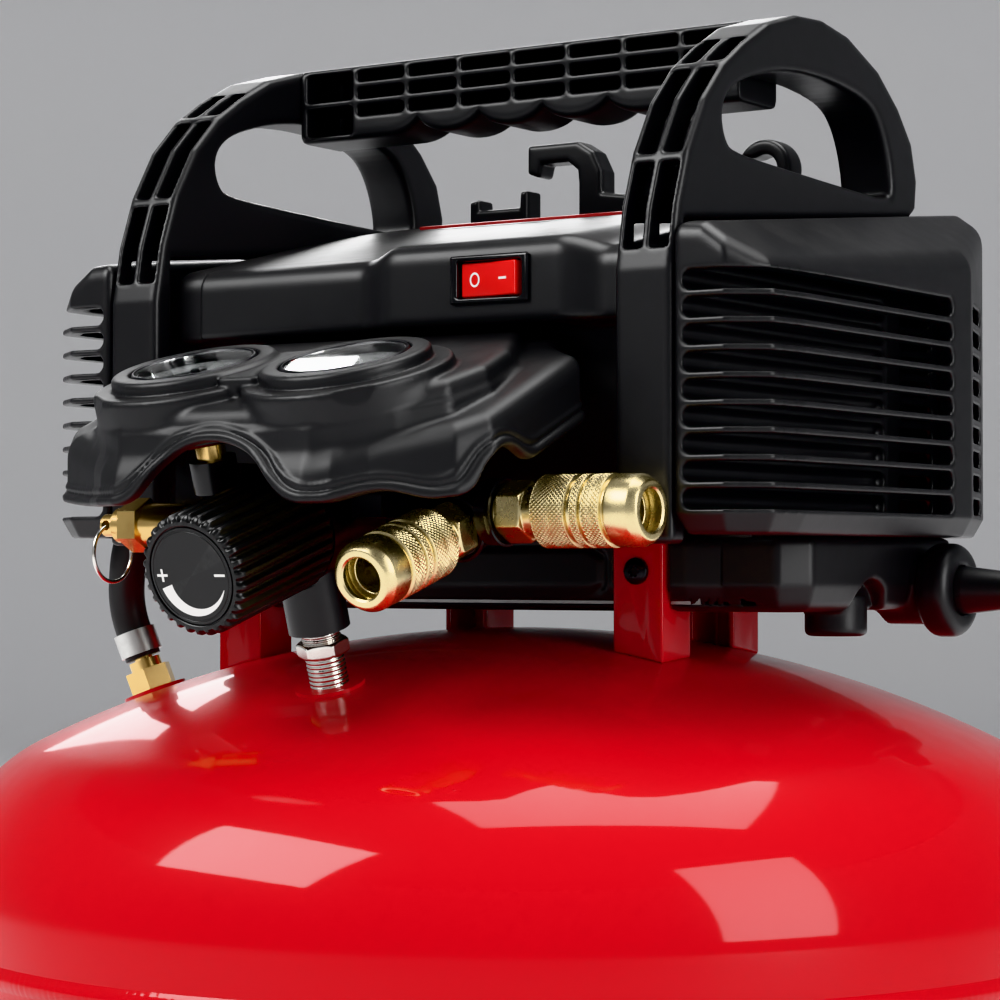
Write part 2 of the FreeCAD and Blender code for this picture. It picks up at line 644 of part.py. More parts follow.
def makeArch():
    body = newBody()
    pad(body, outline(sketchOn(body, "YZ_Plane", "archInner"), archPoints()), "archWide")
    pocket(body, outline(sketchOn(body, "YZ_Plane", "archInner"), windowPoints()), "archWide + 1")
    return body


def archCells():
    """Open cells in the arch's front rim: two columns, ribs between."""
    wall = "archWall"
    wide = "(archWide - 3 * archWall) / 2"
    cells = []
    rows = (("pumpSeat + 125", "28"), ("pumpSeat + 155.5", "30"))
    for column in range(2):
        x = "archInner + %s + %d * (%s + %s)" % (wall, column, wide, wall)
        for low, tall in rows:
            cells.append(box(x, "-shroudFront - 1", low + " + 1.2", wide, "9", tall))
    return cells


def makeHandle():
    right = keep(cut(makeArch(), *archCells()), "handle_right")
    keep(mirrored(right), "handle_left")
    long = "2 * archInner"
    bar = box("-archInner", "-gripFront", "gripTop - gripTall", long, "gripDeep", "gripTall")
    tools = []
    for index in range(4):
        x = "(%d) * fingerPitch" % (index - 1.5)
        tools.append(rod("fingerRadius", "gripDeep + 2", x, "-gripFront + gripDeep + 1",
                         "gripTop - gripTall + fingerDeep - fingerRadius", (1, 0, 0), "90"))
    rowTall = "((gripTall - 2 * fingerDeep - 3 * gripWall) / 2)"
    for column in range(8):
        x = "-archInner + gripWall + %d * gripPitch" % column
        for line in range(2):
            z = "gripTop - gripWall - (%d) * (%s + gripWall) - %s" % (line, rowTall, rowTall)
            tools.append(box(x, "-gripFront - 1", z, "gripPitch - gripWall", "gripDeep - gripWall + 1",
                             rowTall))
    keep(cut(bar, *tools), "handle_grip")


def makeHooks(cover):
    base = "coverRearZ - 2"
    tall = prism("XZ_Plane", [
        ("-20", base), ("-20 + hookThick", base), ("-20 + hookThick", base + " + hookHigh"),
        ("-20 - hookThick", base + " + hookHigh + hookThick", "12"), ("-44", base + " + hookHigh + hookThick"),
        ("-44", base + " + hookHigh - 6"), ("-44 + hookThick", base + " + hookHigh - 6"),
        ("-44 + hookThick", base + " + hookHigh"), ("-20 - hookThick", base + " + hookHigh"),
        ("-20", base + " + hookHigh - hookThick", "-6"),
    ], "-coverRearY", "hookWide")
    low = box("-72", "coverRearY - hookWide", base, "28", "hookWide", "hookThick + 2")
    second = rod("11", "hookWide", "63", "coverRearY", "coverRearZ + 10", (1, 0, 0), "90")
    eye = rod("6", "hookWide + 2", "63", "coverRearY + 1", "coverRearZ + 10", (1, 0, 0), "90")
    notch = box("46", "coverRearY - hookWide - 1", "coverRearZ + 6", "17", "hookWide + 2", "9")
    curl = cut(second, eye, notch)
    keep(cut(group(tall, low, curl), cover), "cord_hooks")


# ---- pump ----

def axleX(radius, start, long, y, z):
    """A round piece along X."""
    return rod(radius, long, start, y, z, (0, 1, 0), "90")


pulleyRadius = "(toothPitch * pulleyTeeth / 2 / pi)"
pinionRadius = "(toothPitch * pinionTeeth / 2 / pi)"
crankAt = ("-crankY", "crankZ")
motorAt = ("motorY", "motorZ")
beltLow = "(-beltPlane)"


def makePumpFrame():
    floor = box("-108", "-58", "trayBottom + plasticWall", "204", "146", "frameThick")
    crank = box("-beltPlane - 16 - frameWall", "-crankY - 22", "trayBottom + plasticWall + frameThick",
                "frameWall", "44", "cylinderLow - trayBottom - plasticWall - frameThick")
    front = box("0", "motorY - 24", "trayBottom + plasticWall + frameThick", "frameWall", "48",
                "motorZ + 20 - trayBottom - plasticWall - frameThick")
    back = box("statorStart + statorLong + 1", "motorY - 24", "trayBottom + plasticWall + frameThick",
               "frameWall", "48", "motorZ + 20 - trayBottom - plasticWall - frameThick")
    left = box("-cylinderX - boreRadius - cylinderWall - frameWall", "-bracketFront + bracketDeep + 1",
               "trayBottom + plasticWall + frameThick", "frameWall", "21",
               "cylinderLow - trayBottom - plasticWall - frameThick")
    deckLow = "cylinderLow - frameThick"
    deck = box("-cylinderX - boreRadius - cylinderWall - frameWall", "-crankY - 30", deckLow,
               "cylinderX + boreRadius + cylinderWall + frameWall - beltPlane - 16", "60", "frameThick")
    tools = [
        axleX("bearingRadius", "-60 - beltPlane", "100", *crankAt),
        axleX("bearingRadius", "-1", "110", *motorAt),
        rod("boreRadius", "60", "-cylinderX", "-crankY", "cylinderLow - 40"),
        box("-200", "-200", "trayBottom - 20", "400", "200 - trayFront + plasticWall + fitGap",
            "shroudBottom - trayBottom + 20 + fitGap"),
    ]
    for x, y in [(x, "-bracketFront") for x in frontBracketX] + [(x, "rearBracketY") for x in rearBracketX]:
        tools.append(box(x + " - fitGap", y + " - fitGap", "trayBottom", "bracketWide + 2 * fitGap",
                         "bracketDeep + 2 * fitGap", "bracketTop - trayBottom + fitGap"))
    keep(cut(fuse(floor, crank, front, back, left, deck), *tools), "pump_frame")
    bearings = []
    spots = [("-beltPlane - 16 - frameWall", crankAt), ("0", motorAt),
             ("statorStart + statorLong + 1", motorAt)]
    for start, at in spots:
        outer = axleX("bearingRadius", start, "bearingThick", *at)
        bearings.append(cut(outer, axleX("shaftRadius + runFit", start + " - 1", "bearingThick + 2", *at)))
    keep(group(*bearings), "shaft_bearings")


def makeMotor():
    stator = axleX("statorRadius", "statorStart", "statorLong", *motorAt)
    bore = axleX("statorBore", "statorStart - 1", "statorLong + 2", *motorAt)
    ears = box("statorStart + 8", "motorY - statorRadius", "trayBottom + plasticWall + frameThick",
               "statorLong - 16", "rearBracketY - 3 - motorY + statorRadius",
               "motorZ - statorRadius - trayBottom - plasticWall")
    keep(cut(fuse(stator, ears), bore), "motor_stator")
    shaft = axleX("shaftRadius", "-beltPlane - 2", "fanStart + fanLong + beltPlane + 2", *motorAt)
    rotor = axleX("rotorRadius", "statorStart + rotorGap", "statorLong - 2 * rotorGap", *motorAt)
    pinion = axleX(pinionRadius + " - beltClear", "-beltPlane", "beltWide + 4", *motorAt)
    keep(fuse(shaft, rotor, pinion), "motor_armature")
    hub = rod("fanHub", "fanLong")
    blades = [hub]
    for index in range(sizes["fanBlades"]):
        blade = box("0", "-bladeThick / 2", "1", "fanRadius", "bladeThick", "fanLong - 2")
        blades.append(place(blade, "0", "0", "0", (0, 0, 1), "360 * %d / fanBlades" % index))
    plate = rod("fanRadius", "2")
    fan = cut(fuse(plate, *blades), rod("shaftRadius", "fanLong * 3", z="-fanLong"))
    keep(place(fan, "fanStart", "motorY", "motorZ", (0, 1, 0), "90"), "cooling_fan")


def beltShape():
    """A flat loop round the pinion and the pulley: two arcs and two tangent runs."""
    small = Vector(0, num("motorY"), num("motorZ"))
    large = Vector(0, -num("crankY"), num("crankZ"))
    span = (large - small).Length
    faces = []
    for extra in (num("beltThick"), 0):
        smallRadius = num(pinionRadius) + extra
        largeRadius = num(pulleyRadius) + extra
        along = (large - small) * (1 / span)
        across = Vector(1, 0, 0).cross(along)
        lean = math.asin((largeRadius - smallRadius) / span)
        corners = []
        for sign in (1, -1):
            out = across * (math.cos(lean) * sign) - along * math.sin(lean)
            corners.append((small + out * smallRadius, large + out * largeRadius))
        (first, second), (fourth, third) = corners
        wire = Part.Wire([
            Part.LineSegment(first, second).toShape(),
            Part.Arc(second, large + along * largeRadius, third).toShape(),
            Part.LineSegment(third, fourth).toShape(),
            Part.Arc(fourth, small - along * smallRadius, first).toShape(),
        ])
        faces.append(Part.Face(wire))
    ring = faces[0].cut(faces[1]).extrude(Vector(num("beltWide"), 0, 0))
    ring.translate(Vector(-num("beltPlane") + 2, 0, 0))
    return ring


def makeDrive():
    keep(shaped(beltShape()), "drive_belt")
    wheel = axleX(pulleyRadius + " - beltClear", "-beltPlane", "beltWide + 4", *crankAt)
    shaft = axleX("shaftRadius", "-beltPlane - 16 - frameWall - 1", "frameWall + 17", *crankAt)
    discStart = "-beltPlane - 17 - frameWall - discThick"
    disc = axleX("crankDisc", discStart, "discThick", *crankAt)
    pinEnd = "-cylinderX + rodWide / 2 + openPivotGap"
    pin = axleX("crankPin", pinEnd, discStart + " - (%s)" % pinEnd, "-crankY", "crankZ + throwRadius")
    keep(fuse(wheel, shaft, disc, pin), "crank_pulley")


def makeCylinder():
    top = "cylinderLow + cylinderTall"
    sleeve = rod("boreRadius + cylinderWall", "cylinderTall", "-cylinderX", "-crankY", "cylinderLow")
    bore = rod("boreRadius", "cylinderTall + 2", "-cylinderX", "-crankY", "cylinderLow - 1")
    keep(cut(sleeve, bore), "cylinder")
    crown = rod("boreRadius - pistonGap", "pistonTall", "-cylinderX", "-crankY", top + " - pistonTall - 0.5")
    rodLow = "crankZ + throwRadius"
    stalk = box("-cylinderX - rodWide / 2", "-crankY - rodWide / 2", rodLow, "rodWide", "rodWide",
                "%s - pistonTall - (%s)" % (top, rodLow))
    eye = axleX("crankPin + 5", "-cylinderX - rodWide / 2", "rodWide", "-crankY", rodLow)
    keep(fuse(crown, stalk, eye), "piston_rod")
    left = "-cylinderX - plateHalf"
    front = "-crankY - plateHalf"
    bolts = []
    plateTools = []
    headTools = []
    for sx in (-1, 1):
        for sy in (-1, 1):
            x = "-cylinderX + %d * (plateHalf - 5)" % sx
            y = "-crankY + %d * (plateHalf - 5)" % sy
            plateTools.append(rod("headBoltRadius", "40", x, y, top + " - 5"))
            headTools.append(rod("headBoltRadius", "40", x, y, top + " - 5"))
            shank = rod("headBoltRadius", "plateThick + headTall", x, y, top)
            boltHead = hexagon("headBoltRadius * 1.8", "3", x, y, top + " + plateThick + headTall")
            bolts.append(fuse(shank, boltHead))
    ports = [rod("4", "20", "-cylinderX + %d" % shift, "-crankY", top + " - 5") for shift in (-11, 11)]
    plate = box(left, front, top, "2 * plateHalf", "2 * plateHalf", "plateThick")
    keep(cut(plate, *plateTools, *ports), "valve_plate")
    head = box(left, front, top + " + plateThick", "2 * plateHalf", "2 * plateHalf", "headTall")
    chamber = box(left + " + 10", front + " + 10", top + " + plateThick - 1", "2 * plateHalf - 20",
                  "2 * plateHalf - 20", "headTall / 2 + 1")
    headTools.append(chamber)
    step = "(2 * plateHalf - 20) / headFins"
    for index in range(sizes["headFins"]):
        headTools.append(box(left + " + 10 + %d * %s" % (index, step), front + " - 1",
                             top + " + plateThick + headTall - 4", step + " - 2", "2 * plateHalf + 2", "5"))
    headTools.append(axleX("pipeRadius - 2", left + " - 1", "20", "-crankY", top + " + plateThick + 4.5"))
    keep(cut(head, *headTools), "cylinder_head")
    keep(group(*bolts), "head_bolts")


# ---- manifold, regulator and fittings ----

def forward(item, x, distance="0", y="-knobBackY", z="knobBackZ"):
    """Place a piece on an axis that leans forward and down, distance ahead of a point."""
    return place(item, x, "%s - (%s) * cos(consoleTilt)" % (y, distance),
                 "%s - (%s) * sin(consoleTilt)" % (z, distance), (1, 0, 0), knobLean)


def onGauge(item, side, drop="0"):
    """Place a piece on a gauge's axis, drop below the middle of its face."""
    return place(item, "%d * gaugeX" % side, "-gaugeY + (%s) * sin(consoleTilt)" % drop,
                 "gaugeZ - (%s) * cos(consoleTilt)" % drop, (1, 0, 0), gaugeLean)


gaugeFoot = "(gaugeDeep + stemLong)"


def makeManifold():
    tube = axleX("manifoldRadius", "-valveStart + 4", "valveStart + couplerSideX - 7", "-manifoldY",
                 "manifoldZ")
    housing = forward(rod("knobRadius - 1", "30"), "0", "-31")
    nippleBoss = place(rod("nippleBoss", "26"), "0", "-nippleTopY", "nippleTopZ", (1, 0, 0), nippleTilt)
    frontBoss = forward(rod("bossWide", "14"), "couplerFrontX", "-14", "-couplerFrontY", "couplerFrontZ")
    sideBoss = axleX("bossWide + 1", "couplerSideX - shankLong - 0.5", "shankLong + 0.5", "-couplerSideY",
                     "manifoldZ")
    valveBoss = axleX("9", "-valveStart", "valveStart", "-valveY", "valveZ")
    solids = [tube, housing, nippleBoss, frontBoss, sideBoss, valveBoss]
    tools = [
        place(rod("pipeRadius", "16"), "0", "-nippleTopY", "nippleTopZ", (1, 0, 0), nippleTilt),
        forward(rod("pipeRadius", "shankLong + 2"), "couplerFrontX", "-shankLong", "-couplerFrontY",
                "couplerFrontZ"),
        axleX("pipeRadius", "couplerSideX - shankLong", "shankLong + 2", "-couplerSideY", "manifoldZ"),
        forward(rod("knobRadius + 0.4", "knobLong"), "0", "-1"),
        axleX("pipeRadius", "-valveStart - 2", "14", "-valveY", "valveZ"),
    ]
    for side in (-1, 1):
        arm = onGauge(rod("8", "stemLong - 2"), side, gaugeFoot + " + 6")
        solids.append(arm)
        solids.append(box("%d * gaugeX - 6" % side, "-gaugeY + 12", "gaugeZ - 52", "12",
                          "gaugeY - 12 - manifoldY",
                          "10"))
        tools.append(onGauge(rod("stemRadius", "8"), side, gaugeFoot))
    keep(cut(fuse(*solids), *tools), "manifold_body")


def makeNipple():
    long = "(nippleTopZ - %s) / cos(nippleLean)" % nippleFootZ
    lowThread = onNipple(rod, "pipeRadius", "6 + " + long + " + 10", drop="6")
    hexPart = onNipple(hexagon, "nippleHex", "(%s) * 0.38" % long, drop="-(%s) * 0.36" % long)
    bore = onNipple(rod, "nippleBore", "80", drop="20")
    keep(cut(fuse(lowThread, hexPart), bore), "hex_nipple")


def makeRegulator():
    bonnet = turned([
        ("0", "-1"), ("knobRadius - 2", "-1"), ("knobRadius - 2", "-0.3"), ("bonnetRadius", "-0.3"),
        ("bonnetRadius", "bonnetLong"), ("0", "bonnetLong"),
    ])
    keep(forward(bonnet, "0"), "regulator_bonnet")
    knob = newBody()
    spin(knob, [
        ("0", "knobLong - knobFace"), ("knobCavity", "knobLong - knobFace"), ("knobCavity", "0.3"),
        ("knobRadius - 0.6", "0.3"), ("knobRadius", "1"), ("knobRadius", "knobLong - 1.5"),
        ("knobRadius - 1.5", "knobLong"), ("discRadius", "knobLong"), ("discRadius", "knobLong - discThin"),
        ("0", "knobLong - discThin"),
    ])
    doc.recompute()
    flute = pocket(knob, circle(sketchOn(knob, "XY_Plane", "2"), "knobRadius", "0", "1.1"), "knobLong")
    around(knob, flute, "knobRibs")
    keep(forward(knob, "0"), "regulator_knob")
    keep(forward(rod("discRadius", "discThin"), "0", "knobLong - discThin"), "knob_disc")


def couplerBody():
    return cut(
        fuse(rod("pipeRadius", "shankLong + 1", z="-shankLong"), hexagon("couplerHex", "10", z="1"),
             rod("pipeRadius + 1.5", "2", z="0"), rod("couplerTube - 1", "8", z="10"),
             rod("couplerTube", "couplerLong - 6.5 - sleeveStart", z="sleeveStart")),
        rod("couplerBore", "couplerLong - 6.5 - sleeveStart + 6", z="sleeveStart - 4"),
        rod("3", "40", z="-20"))


def couplerSleeve():
    return turned([
        ("couplerTube + runFit", "sleeveStart"), ("couplerRadius", "sleeveStart"),
        ("couplerRadius", "couplerLong - 1"), ("couplerRadius - 1", "couplerLong"),
        ("couplerBore + 0.4", "couplerLong"), ("couplerBore + 0.4", "couplerLong - lipThick"),
        ("couplerTube + runFit", "couplerLong - lipThick"),
    ])


def makeCouplers():
    at = ("couplerFrontX", "0", "-couplerFrontY", "couplerFrontZ")
    keep(forward(couplerBody(), *at), "coupler_body_front")
    keep(forward(couplerSleeve(), *at), "coupler_sleeve_front")
    side = ("couplerSideX", "-couplerSideY", "manifoldZ", (0, 1, 0), "90")
    keep(place(couplerBody(), *side), "coupler_body_side")
    keep(place(couplerSleeve(), *side), "coupler_sleeve_side")


def makeSafetyValve():
    at = ("-valveY", "valveZ")
    body = fuse(axleX("pipeRadius", "-valveStart", "10", *at),
                axleX("valveRadius", "-73", "73 - valveStart", *at),
                place(hexagon("9.5", "8"), "-81", "-valveY", "valveZ", (0, 1, 0), "90"),
                axleX("valveRadius - 1.3", "-valveTip", "valveTip - 81", *at))
    keep(cut(body, axleX("2.5 + runFit", "-valveTip - 1", "24", *at)), "safety_valve_body")
    head = axleX("valveStemRadius", "-valveTip - valveStemLong", "valveStemLong - 0.3", *at)
    shank = axleX("2.5", "-valveTip - 1", "18", *at)
    hole = rod("ringHole", "20", "-valveTip - 4", "-valveY + 10", "valveZ", (1, 0, 0), "90")
    keep(cut(fuse(head, shank), hole), "safety_valve_stem")
    ring = doc.addObject("Part::Torus", "Ring")
    bind(ring, "Radius1", "ringRadius")
    bind(ring, "Radius2", "ringWire")
    place(ring, "-valveTip - 4", "-valveY", "valveZ - ringRadius + 0.2", (0, 1, 0), "90")
    keep(ring, "pull_ring")


# ---- gauges and console ----

def makeGauges():
    for side, word in ((-1, "left"), (1, "right")):
        case = turned([
            ("0", "-gaugeDeep"), ("gaugeRadius", "-gaugeDeep"), ("gaugeRadius", "0"),
            ("gaugeRadius - gaugeWall - 1", "0"), ("gaugeRadius - gaugeWall - 1", "-0.4"),
            ("gaugeRadius - gaugeWall", "-0.4"), ("gaugeRadius - gaugeWall", "-dialDeep - dialThick"),
            ("0", "-dialDeep - dialThick"),
        ])
        stem = fuse(onGauge(case, side), onGauge(hexagon("stemHex", "8"), side, "gaugeDeep + 8"),
                    onGauge(rod("stemRadius", "stemLong"), side, "gaugeDeep + stemLong"))
        keep(stem, "gauge_case_" + word)
        keep(onGauge(rod("gaugeRadius - gaugeWall", "dialThick"), side, "dialDeep + dialThick"),
             "gauge_dial_" + word)
        needle = fuse(rod("needlePin", "1.4", z="0.3"), box("-0.5", "-4", "0.5", "1", "needleLong + 4", "0.6"))
        keep(turnedNeedle(needle, side), "gauge_needle_" + word)
        keep(onGauge(rod("gaugeRadius - gaugeWall", "lensThick"), side, "0.4 + lensThick"),
             "gauge_lens_" + word)


def turnedNeedle(needle, side):
    """The needle at zero points down and left on the dial."""
    spun = place(needle, "0", "0", "0", (0, 0, 1), "135")
    holder = group(spun)
    return onGauge(holder, side, "dialDeep")


def consolePlan(inset):
    """Plan of the console; each corner is a point set by the driving sizes."""
    half = num("consoleHalf") - inset
    pod = num("podHalf") - inset
    front = -num("consoleFront") + inset
    nose = -num("podFront") + inset
    back = -num("recessY") - num("fitGap") / 5 - (inset and -1)
    right = [(half, back), (half, front + 8), (half - 8, front), (pod + 8, -num("podFront") + 10 + inset),
             (pod, nose + 4), (pod - 6, nose)]
    points = right + [(-x, y) for x, y in reversed(right)]
    return [Vector(x, y, 0) for x, y in points]


def slantedTop(drop):
    """Space under the console's leaning top, drop below the gauges' faces."""
    slope = math.tan(math.radians(num("consoleTilt")))
    middle = num("gaugeZ") - drop / math.cos(math.radians(num("consoleTilt")))
    points = []
    for y in (-230, -num("recessY") + 5):
        points.append(Vector(-200, y, min(middle + slope * (y + num("gaugeY")), num("panelBottom") - 0.3)))
    flatY = (num("panelBottom") - 0.3 - middle) / slope - num("gaugeY")
    ring = [points[0]]
    if flatY < -num("recessY"):
        ring.append(Vector(-200, flatY, num("panelBottom") - 0.3))
    ring += [points[1], Vector(-200, points[1].y, 200), Vector(-200, points[0].y, 200)]
    return Part.Face(Part.makePolygon(ring + ring[:1])).extrude(Vector(400, 0, 0))


def gaugeRound(radius, low, high, side):
    """A cylinder on a gauge's axis between two depths below its face."""
    lean = math.radians(num("consoleTilt"))
    normal = Vector(0, -math.sin(lean), math.cos(lean))
    face = Vector(side * num("gaugeX"), -num("gaugeY"), num("gaugeZ"))
    return Part.makeCylinder(radius, low - high, face - normal * low, normal)


def consoleShape():
    wall = num("consoleWall")
    bottom = num("consoleBottom")
    drop = num("collarHigh")
    plans = [Part.Face(Part.makePolygon(consolePlan(inset) + consolePlan(inset)[:1])) for inset in (0, wall)]
    outer = plans[0].extrude(Vector(0, 0, 120))
    outer.translate(Vector(0, 0, bottom))
    inner = plans[1].extrude(Vector(0, 0, 120))
    inner.translate(Vector(0, 0, bottom - 1))
    shell = outer.common(slantedTop(drop)).cut(inner.common(slantedTop(drop + wall)))
    collar = num("collarRadius")
    collars = [gaugeRound(collar, drop + wall, 0, side) for side in (-1, 1)]
    wells = [gaugeRound(num("gaugeRadius") + num("fitGap") / 2, drop + wall + 30, -5, side) for side in (-1, 1)]
    shell = shell.fuse(collars).cut(Part.Compound(wells))
    roofGuard = Part.makeBox(400, 60, 60, Vector(-200, -num("shroudFront") - 0.3, num("panelBottom") - 0.3))
    shell = shell.cut(roofGuard)
    archStart = Vector(0, -num("podFront") - 20, num("archTop") - num("archHalf"))
    arch = Part.makeCylinder(num("archHalf"), 60, archStart, Vector(0, 1, 0))
    legs = Part.makeBox(2 * num("archHalf"), 60, 40, Vector(-num("archHalf"), -num("podFront") - 20,
                        num("archTop") - num("archHalf") - 40))
    tools = [arch, legs]
    radius = num("couplerRadius") + 2
    tools.append(Part.makeCylinder(radius, 60, Vector(num("couplerFrontX"), -200, num("couplerFrontZ") - 12),
                                   Vector(0, 1, 0)))
    tools.append(Part.makeCylinder(radius, 60, Vector(num("couplerSideX") + 5, -num("couplerSideY"),
                                                      num("manifoldZ")), Vector(1, 0, 0)))
    tools.append(Part.makeCylinder(num("valveRadius") + 3.5, 60, Vector(-num("valveStart") - 60, -num("valveY"),
                                                                     num("valveZ")), Vector(1, 0, 0)))
    return shell.cut(tools).removeSplitter()


def makeConsole():
    keep(shaped(consoleShape()), "console_cover")
    keep(box("-valveStart + 4 - pressureLong", "-manifoldY - pressureHalf", "manifoldZ - pressureHalf",
             "pressureLong", "2 * pressureHalf", "pressureTall"), "pressure_switch")


# ---- power switch ----

def makeSwitch():
    front = "-shroudFront"
    long = "switchLong"
    tall = "switchTall"
    flange = box("switchX - %s / 2" % long, front + " - switchProud", "switchZ - %s / 2" % tall,
                 long, "switchProud", tall)
    barrel = box("switchX - %s / 2 + 2" % long, front, "switchZ - %s / 2 + 2" % tall,
                 long + " - 4", "14", tall + " - 4")
    well = box("switchX - rockerLong / 2 - rockerGap", front + " - 3", "switchZ - rockerTall / 2 - 0.4",
               "rockerLong + 2 * rockerGap", "14", "rockerTall + 0.8")
    keep(cut(fuse(flange, barrel), well), "switch_bezel")
    rocker = prism("XY_Plane", [
        ("-rockerLong / 2", "1"), ("-rockerLong / 2", "-rockerDeep / 2 + 0.4"), ("0", "-rockerDeep / 2 + 1.4"),
        ("rockerLong / 2", "-rockerDeep / 2 + 0.4"), ("rockerLong / 2", "1"), ("0", "rockerDeep / 2"),
    ], "-rockerTall / 2", "rockerTall")
    keep(place(rocker, "switchX", "-shroudFront + 2", "switchZ", (0, 0, 1), "-rockerTilt"), "power_rocker")


# ---- hose, clamps, check valve and drain ----

def onCheckPoint(height):
    """A point on the check valve's axis, height above the dome."""
    scale = 1 + height / num("crownRadius")
    centre = num(crownCentre)
    return Vector(-num("checkX") * scale, -num("checkY") * scale, centre + (num(checkZ) - centre) * scale)


def hosePoints():
    """Corners of the hose's route from the check valve up to the cylinder head's side."""
    high = num("cylinderLow + cylinderTall + plateThick") + 4.5
    seat = num("pumpSeat")
    end = Vector(-num("cylinderX + plateHalf") - 3, -num("crankY"), high)
    return [
        onCheckPoint(14), onCheckPoint(34), Vector(-131, -69, seat + 31), Vector(-123, -62, seat + 53),
        Vector(-126, -46, seat + 75), Vector(-132, -34, seat + 89), Vector(-129, end.y - 1, high - 11),
        Vector(end.x - 17, end.y, high), end,
    ]


def roundedPath(points):
    """Straight runs joined by tangent arcs, each as large as its two runs allow."""
    edges = []
    at = points[0]
    for before, corner, after in zip(points, points[1:], points[2:]):
        back = (before - corner)
        ahead = (after - corner)
        turn = math.pi - back.getAngle(ahead)
        trim = 0.45 * min(back.Length, ahead.Length)
        radius = trim / math.tan(turn / 2)
        print("hose bend radius %.1f mm" % radius)
        first = corner + back.normalize() * trim
        last = corner + ahead.normalize() * trim
        inward = ((first + last) * 0.5 - corner).normalize()
        middle = corner + inward * (math.hypot(radius, trim) - radius)
        edges.append(Part.LineSegment(at, first).toShape())
        edges.append(Part.Arc(first, middle, last).toShape())
        at = last
    edges.append(Part.LineSegment(at, points[-1]).toShape())
    return Part.Wire(edges)


def hoseShape():
    path = roundedPath(hosePoints())
    start = hosePoints()[0]
    direction = (hosePoints()[1] - start)
    tubes = []
    for radius in (num("hoseRadius"), num("hoseBore")):
        section = Part.Wire([Part.Circle(start, direction, radius).toShape()])
        tubes.append(path.makePipeShell([section], True, False))
        expected = math.pi * radius ** 2 * path.Length
        if abs(tubes[-1].Volume - expected) > 0.01 * expected:
            raise ValueError("the hose's volume is off its section times its length")
    return tubes[0].cut(tubes[1])


def makeHose():
    keep(shaped(hoseShape()), "delivery_hose")
    hexPart = onCheck(hexagon, "checkHex", "8", drop="-(bungProud + 0.2)")
    thread = onCheck(rod, "pipeRadius", "10", drop="bungDepth - 2")
    barb = onCheck(rod, "hoseBore", "18", drop="-5")
    collar = onCheck(rod, "6", "4", drop="-9")
    keep(fuse(hexPart, thread, barb, collar), "check_valve")
    clamps = []
    lower = onCheck(rod, "hoseRadius + clampWall", "clampWide", drop="-15.5")
    lowerBore = onCheck(rod, "hoseRadius", "clampWide * 2", drop="-12")
    clamps.append(cut(lower, lowerBore))
    start = "-cylinderX - plateHalf - 3.5 - clampWide / 2"
    high = "cylinderLow + cylinderTall + plateThick + 4.5"
    upper = axleX("hoseRadius + clampWall", start, "clampWide / 2", "-crankY", high)
    upperBore = axleX("hoseRadius", start + " - 1", "clampWide", "-crankY", high)
    clamps.append(cut(upper, upperBore))
    keep(group(*clamps), "hose_clamps")


def makeDrain():
    thread = rod("pipeRadius", "tankLift + 4 - drainZ", z="drainZ")
    bodyPart = rod("drainRadius", "46", "0", "8", "drainZ", (1, 0, 0), "90")
    collar = hexagon("8.5", "3.5", z="tankLift - bungProud - 3.7")
    bore = rod("3.4", "60", "0", "-2", "drainZ", (1, 0, 0), "90")
    up = rod("3.4", "40", z="drainZ")
    seat = rod("2 + runFit", "20", "0", "-drainY", "drainZ")
    keep(cut(fuse(thread, bodyPart, collar), bore, up, seat), "drain_valve_body")
    stem = rod("2", "drainRadius + 3.5", "0", "-drainY", "drainZ")
    plate = box("-leverWide / 2", "-drainY - leverWide / 2", "drainZ + drainRadius + 0.8",
                "leverLong", "leverWide", "leverThick")
    keep(fuse(stem, plate), "drain_lever")


# ---- screws ----

def screwAt(x, y, z, axis, turn):
    screw = turned([
        ("0", "0"), ("screwRadius", "0"), ("screwRadius", "14"), ("screwHead", "14"),
        ("screwHead", "14 + headThick"), ("0", "14 + headThick"),
    ])
    return place(screw, x, y, z, axis, turn)


def makeScrews():
    z = "bracketTop - 10"
    screws = []
    for x in frontBracketX:
        screws.append(screwAt(x + " + bracketWide / 2", "-bracketFront + 14", z, (1, 0, 0), "90"))
    for x in rearBracketX:
        screws.append(screwAt(x + " + bracketWide / 2", "rearBracketY + bracketDeep - 14", z, (1, 0, 0), "-90"))
    keep(group(*screws), "bracket_screws")


makeTank()
makeFeet()
makeBrackets()
makeTray()
shroudFrontPiece = makeShroud()
makeHandle()
makeHooks(shroudFrontPiece)
makePumpFrame()
makeMotor()
makeDrive()
makeCylinder()
makeManifold()
makeNipple()
makeRegulator()
makeCouplers()
makeSafetyValve()
makeGauges()
makeConsole()
makeSwitch()
makeHose()
makeDrain()
makeScrews()

doc.recompute()
failed = [item.Label for item in doc.Objects if "Invalid" in item.State or "Error" in item.State]
if failed:
    raise RuntimeError("failed objects: %s" % failed)
for item in parts:
    if item.Shape.isNull() or not item.Shape.isValid() or not item.Shape.Solids:
        raise RuntimeError("bad shape: " + item.Label)

os.makedirs("parts", exist_ok=True)
for item in parts:
    item.Shape.exportStep("parts/%s.step" % item.Label)
print("%d sub-parts written" % len(parts))
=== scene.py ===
import math

import bmesh
import bpy
import numpy as np
from mathutils import Matrix, Vector


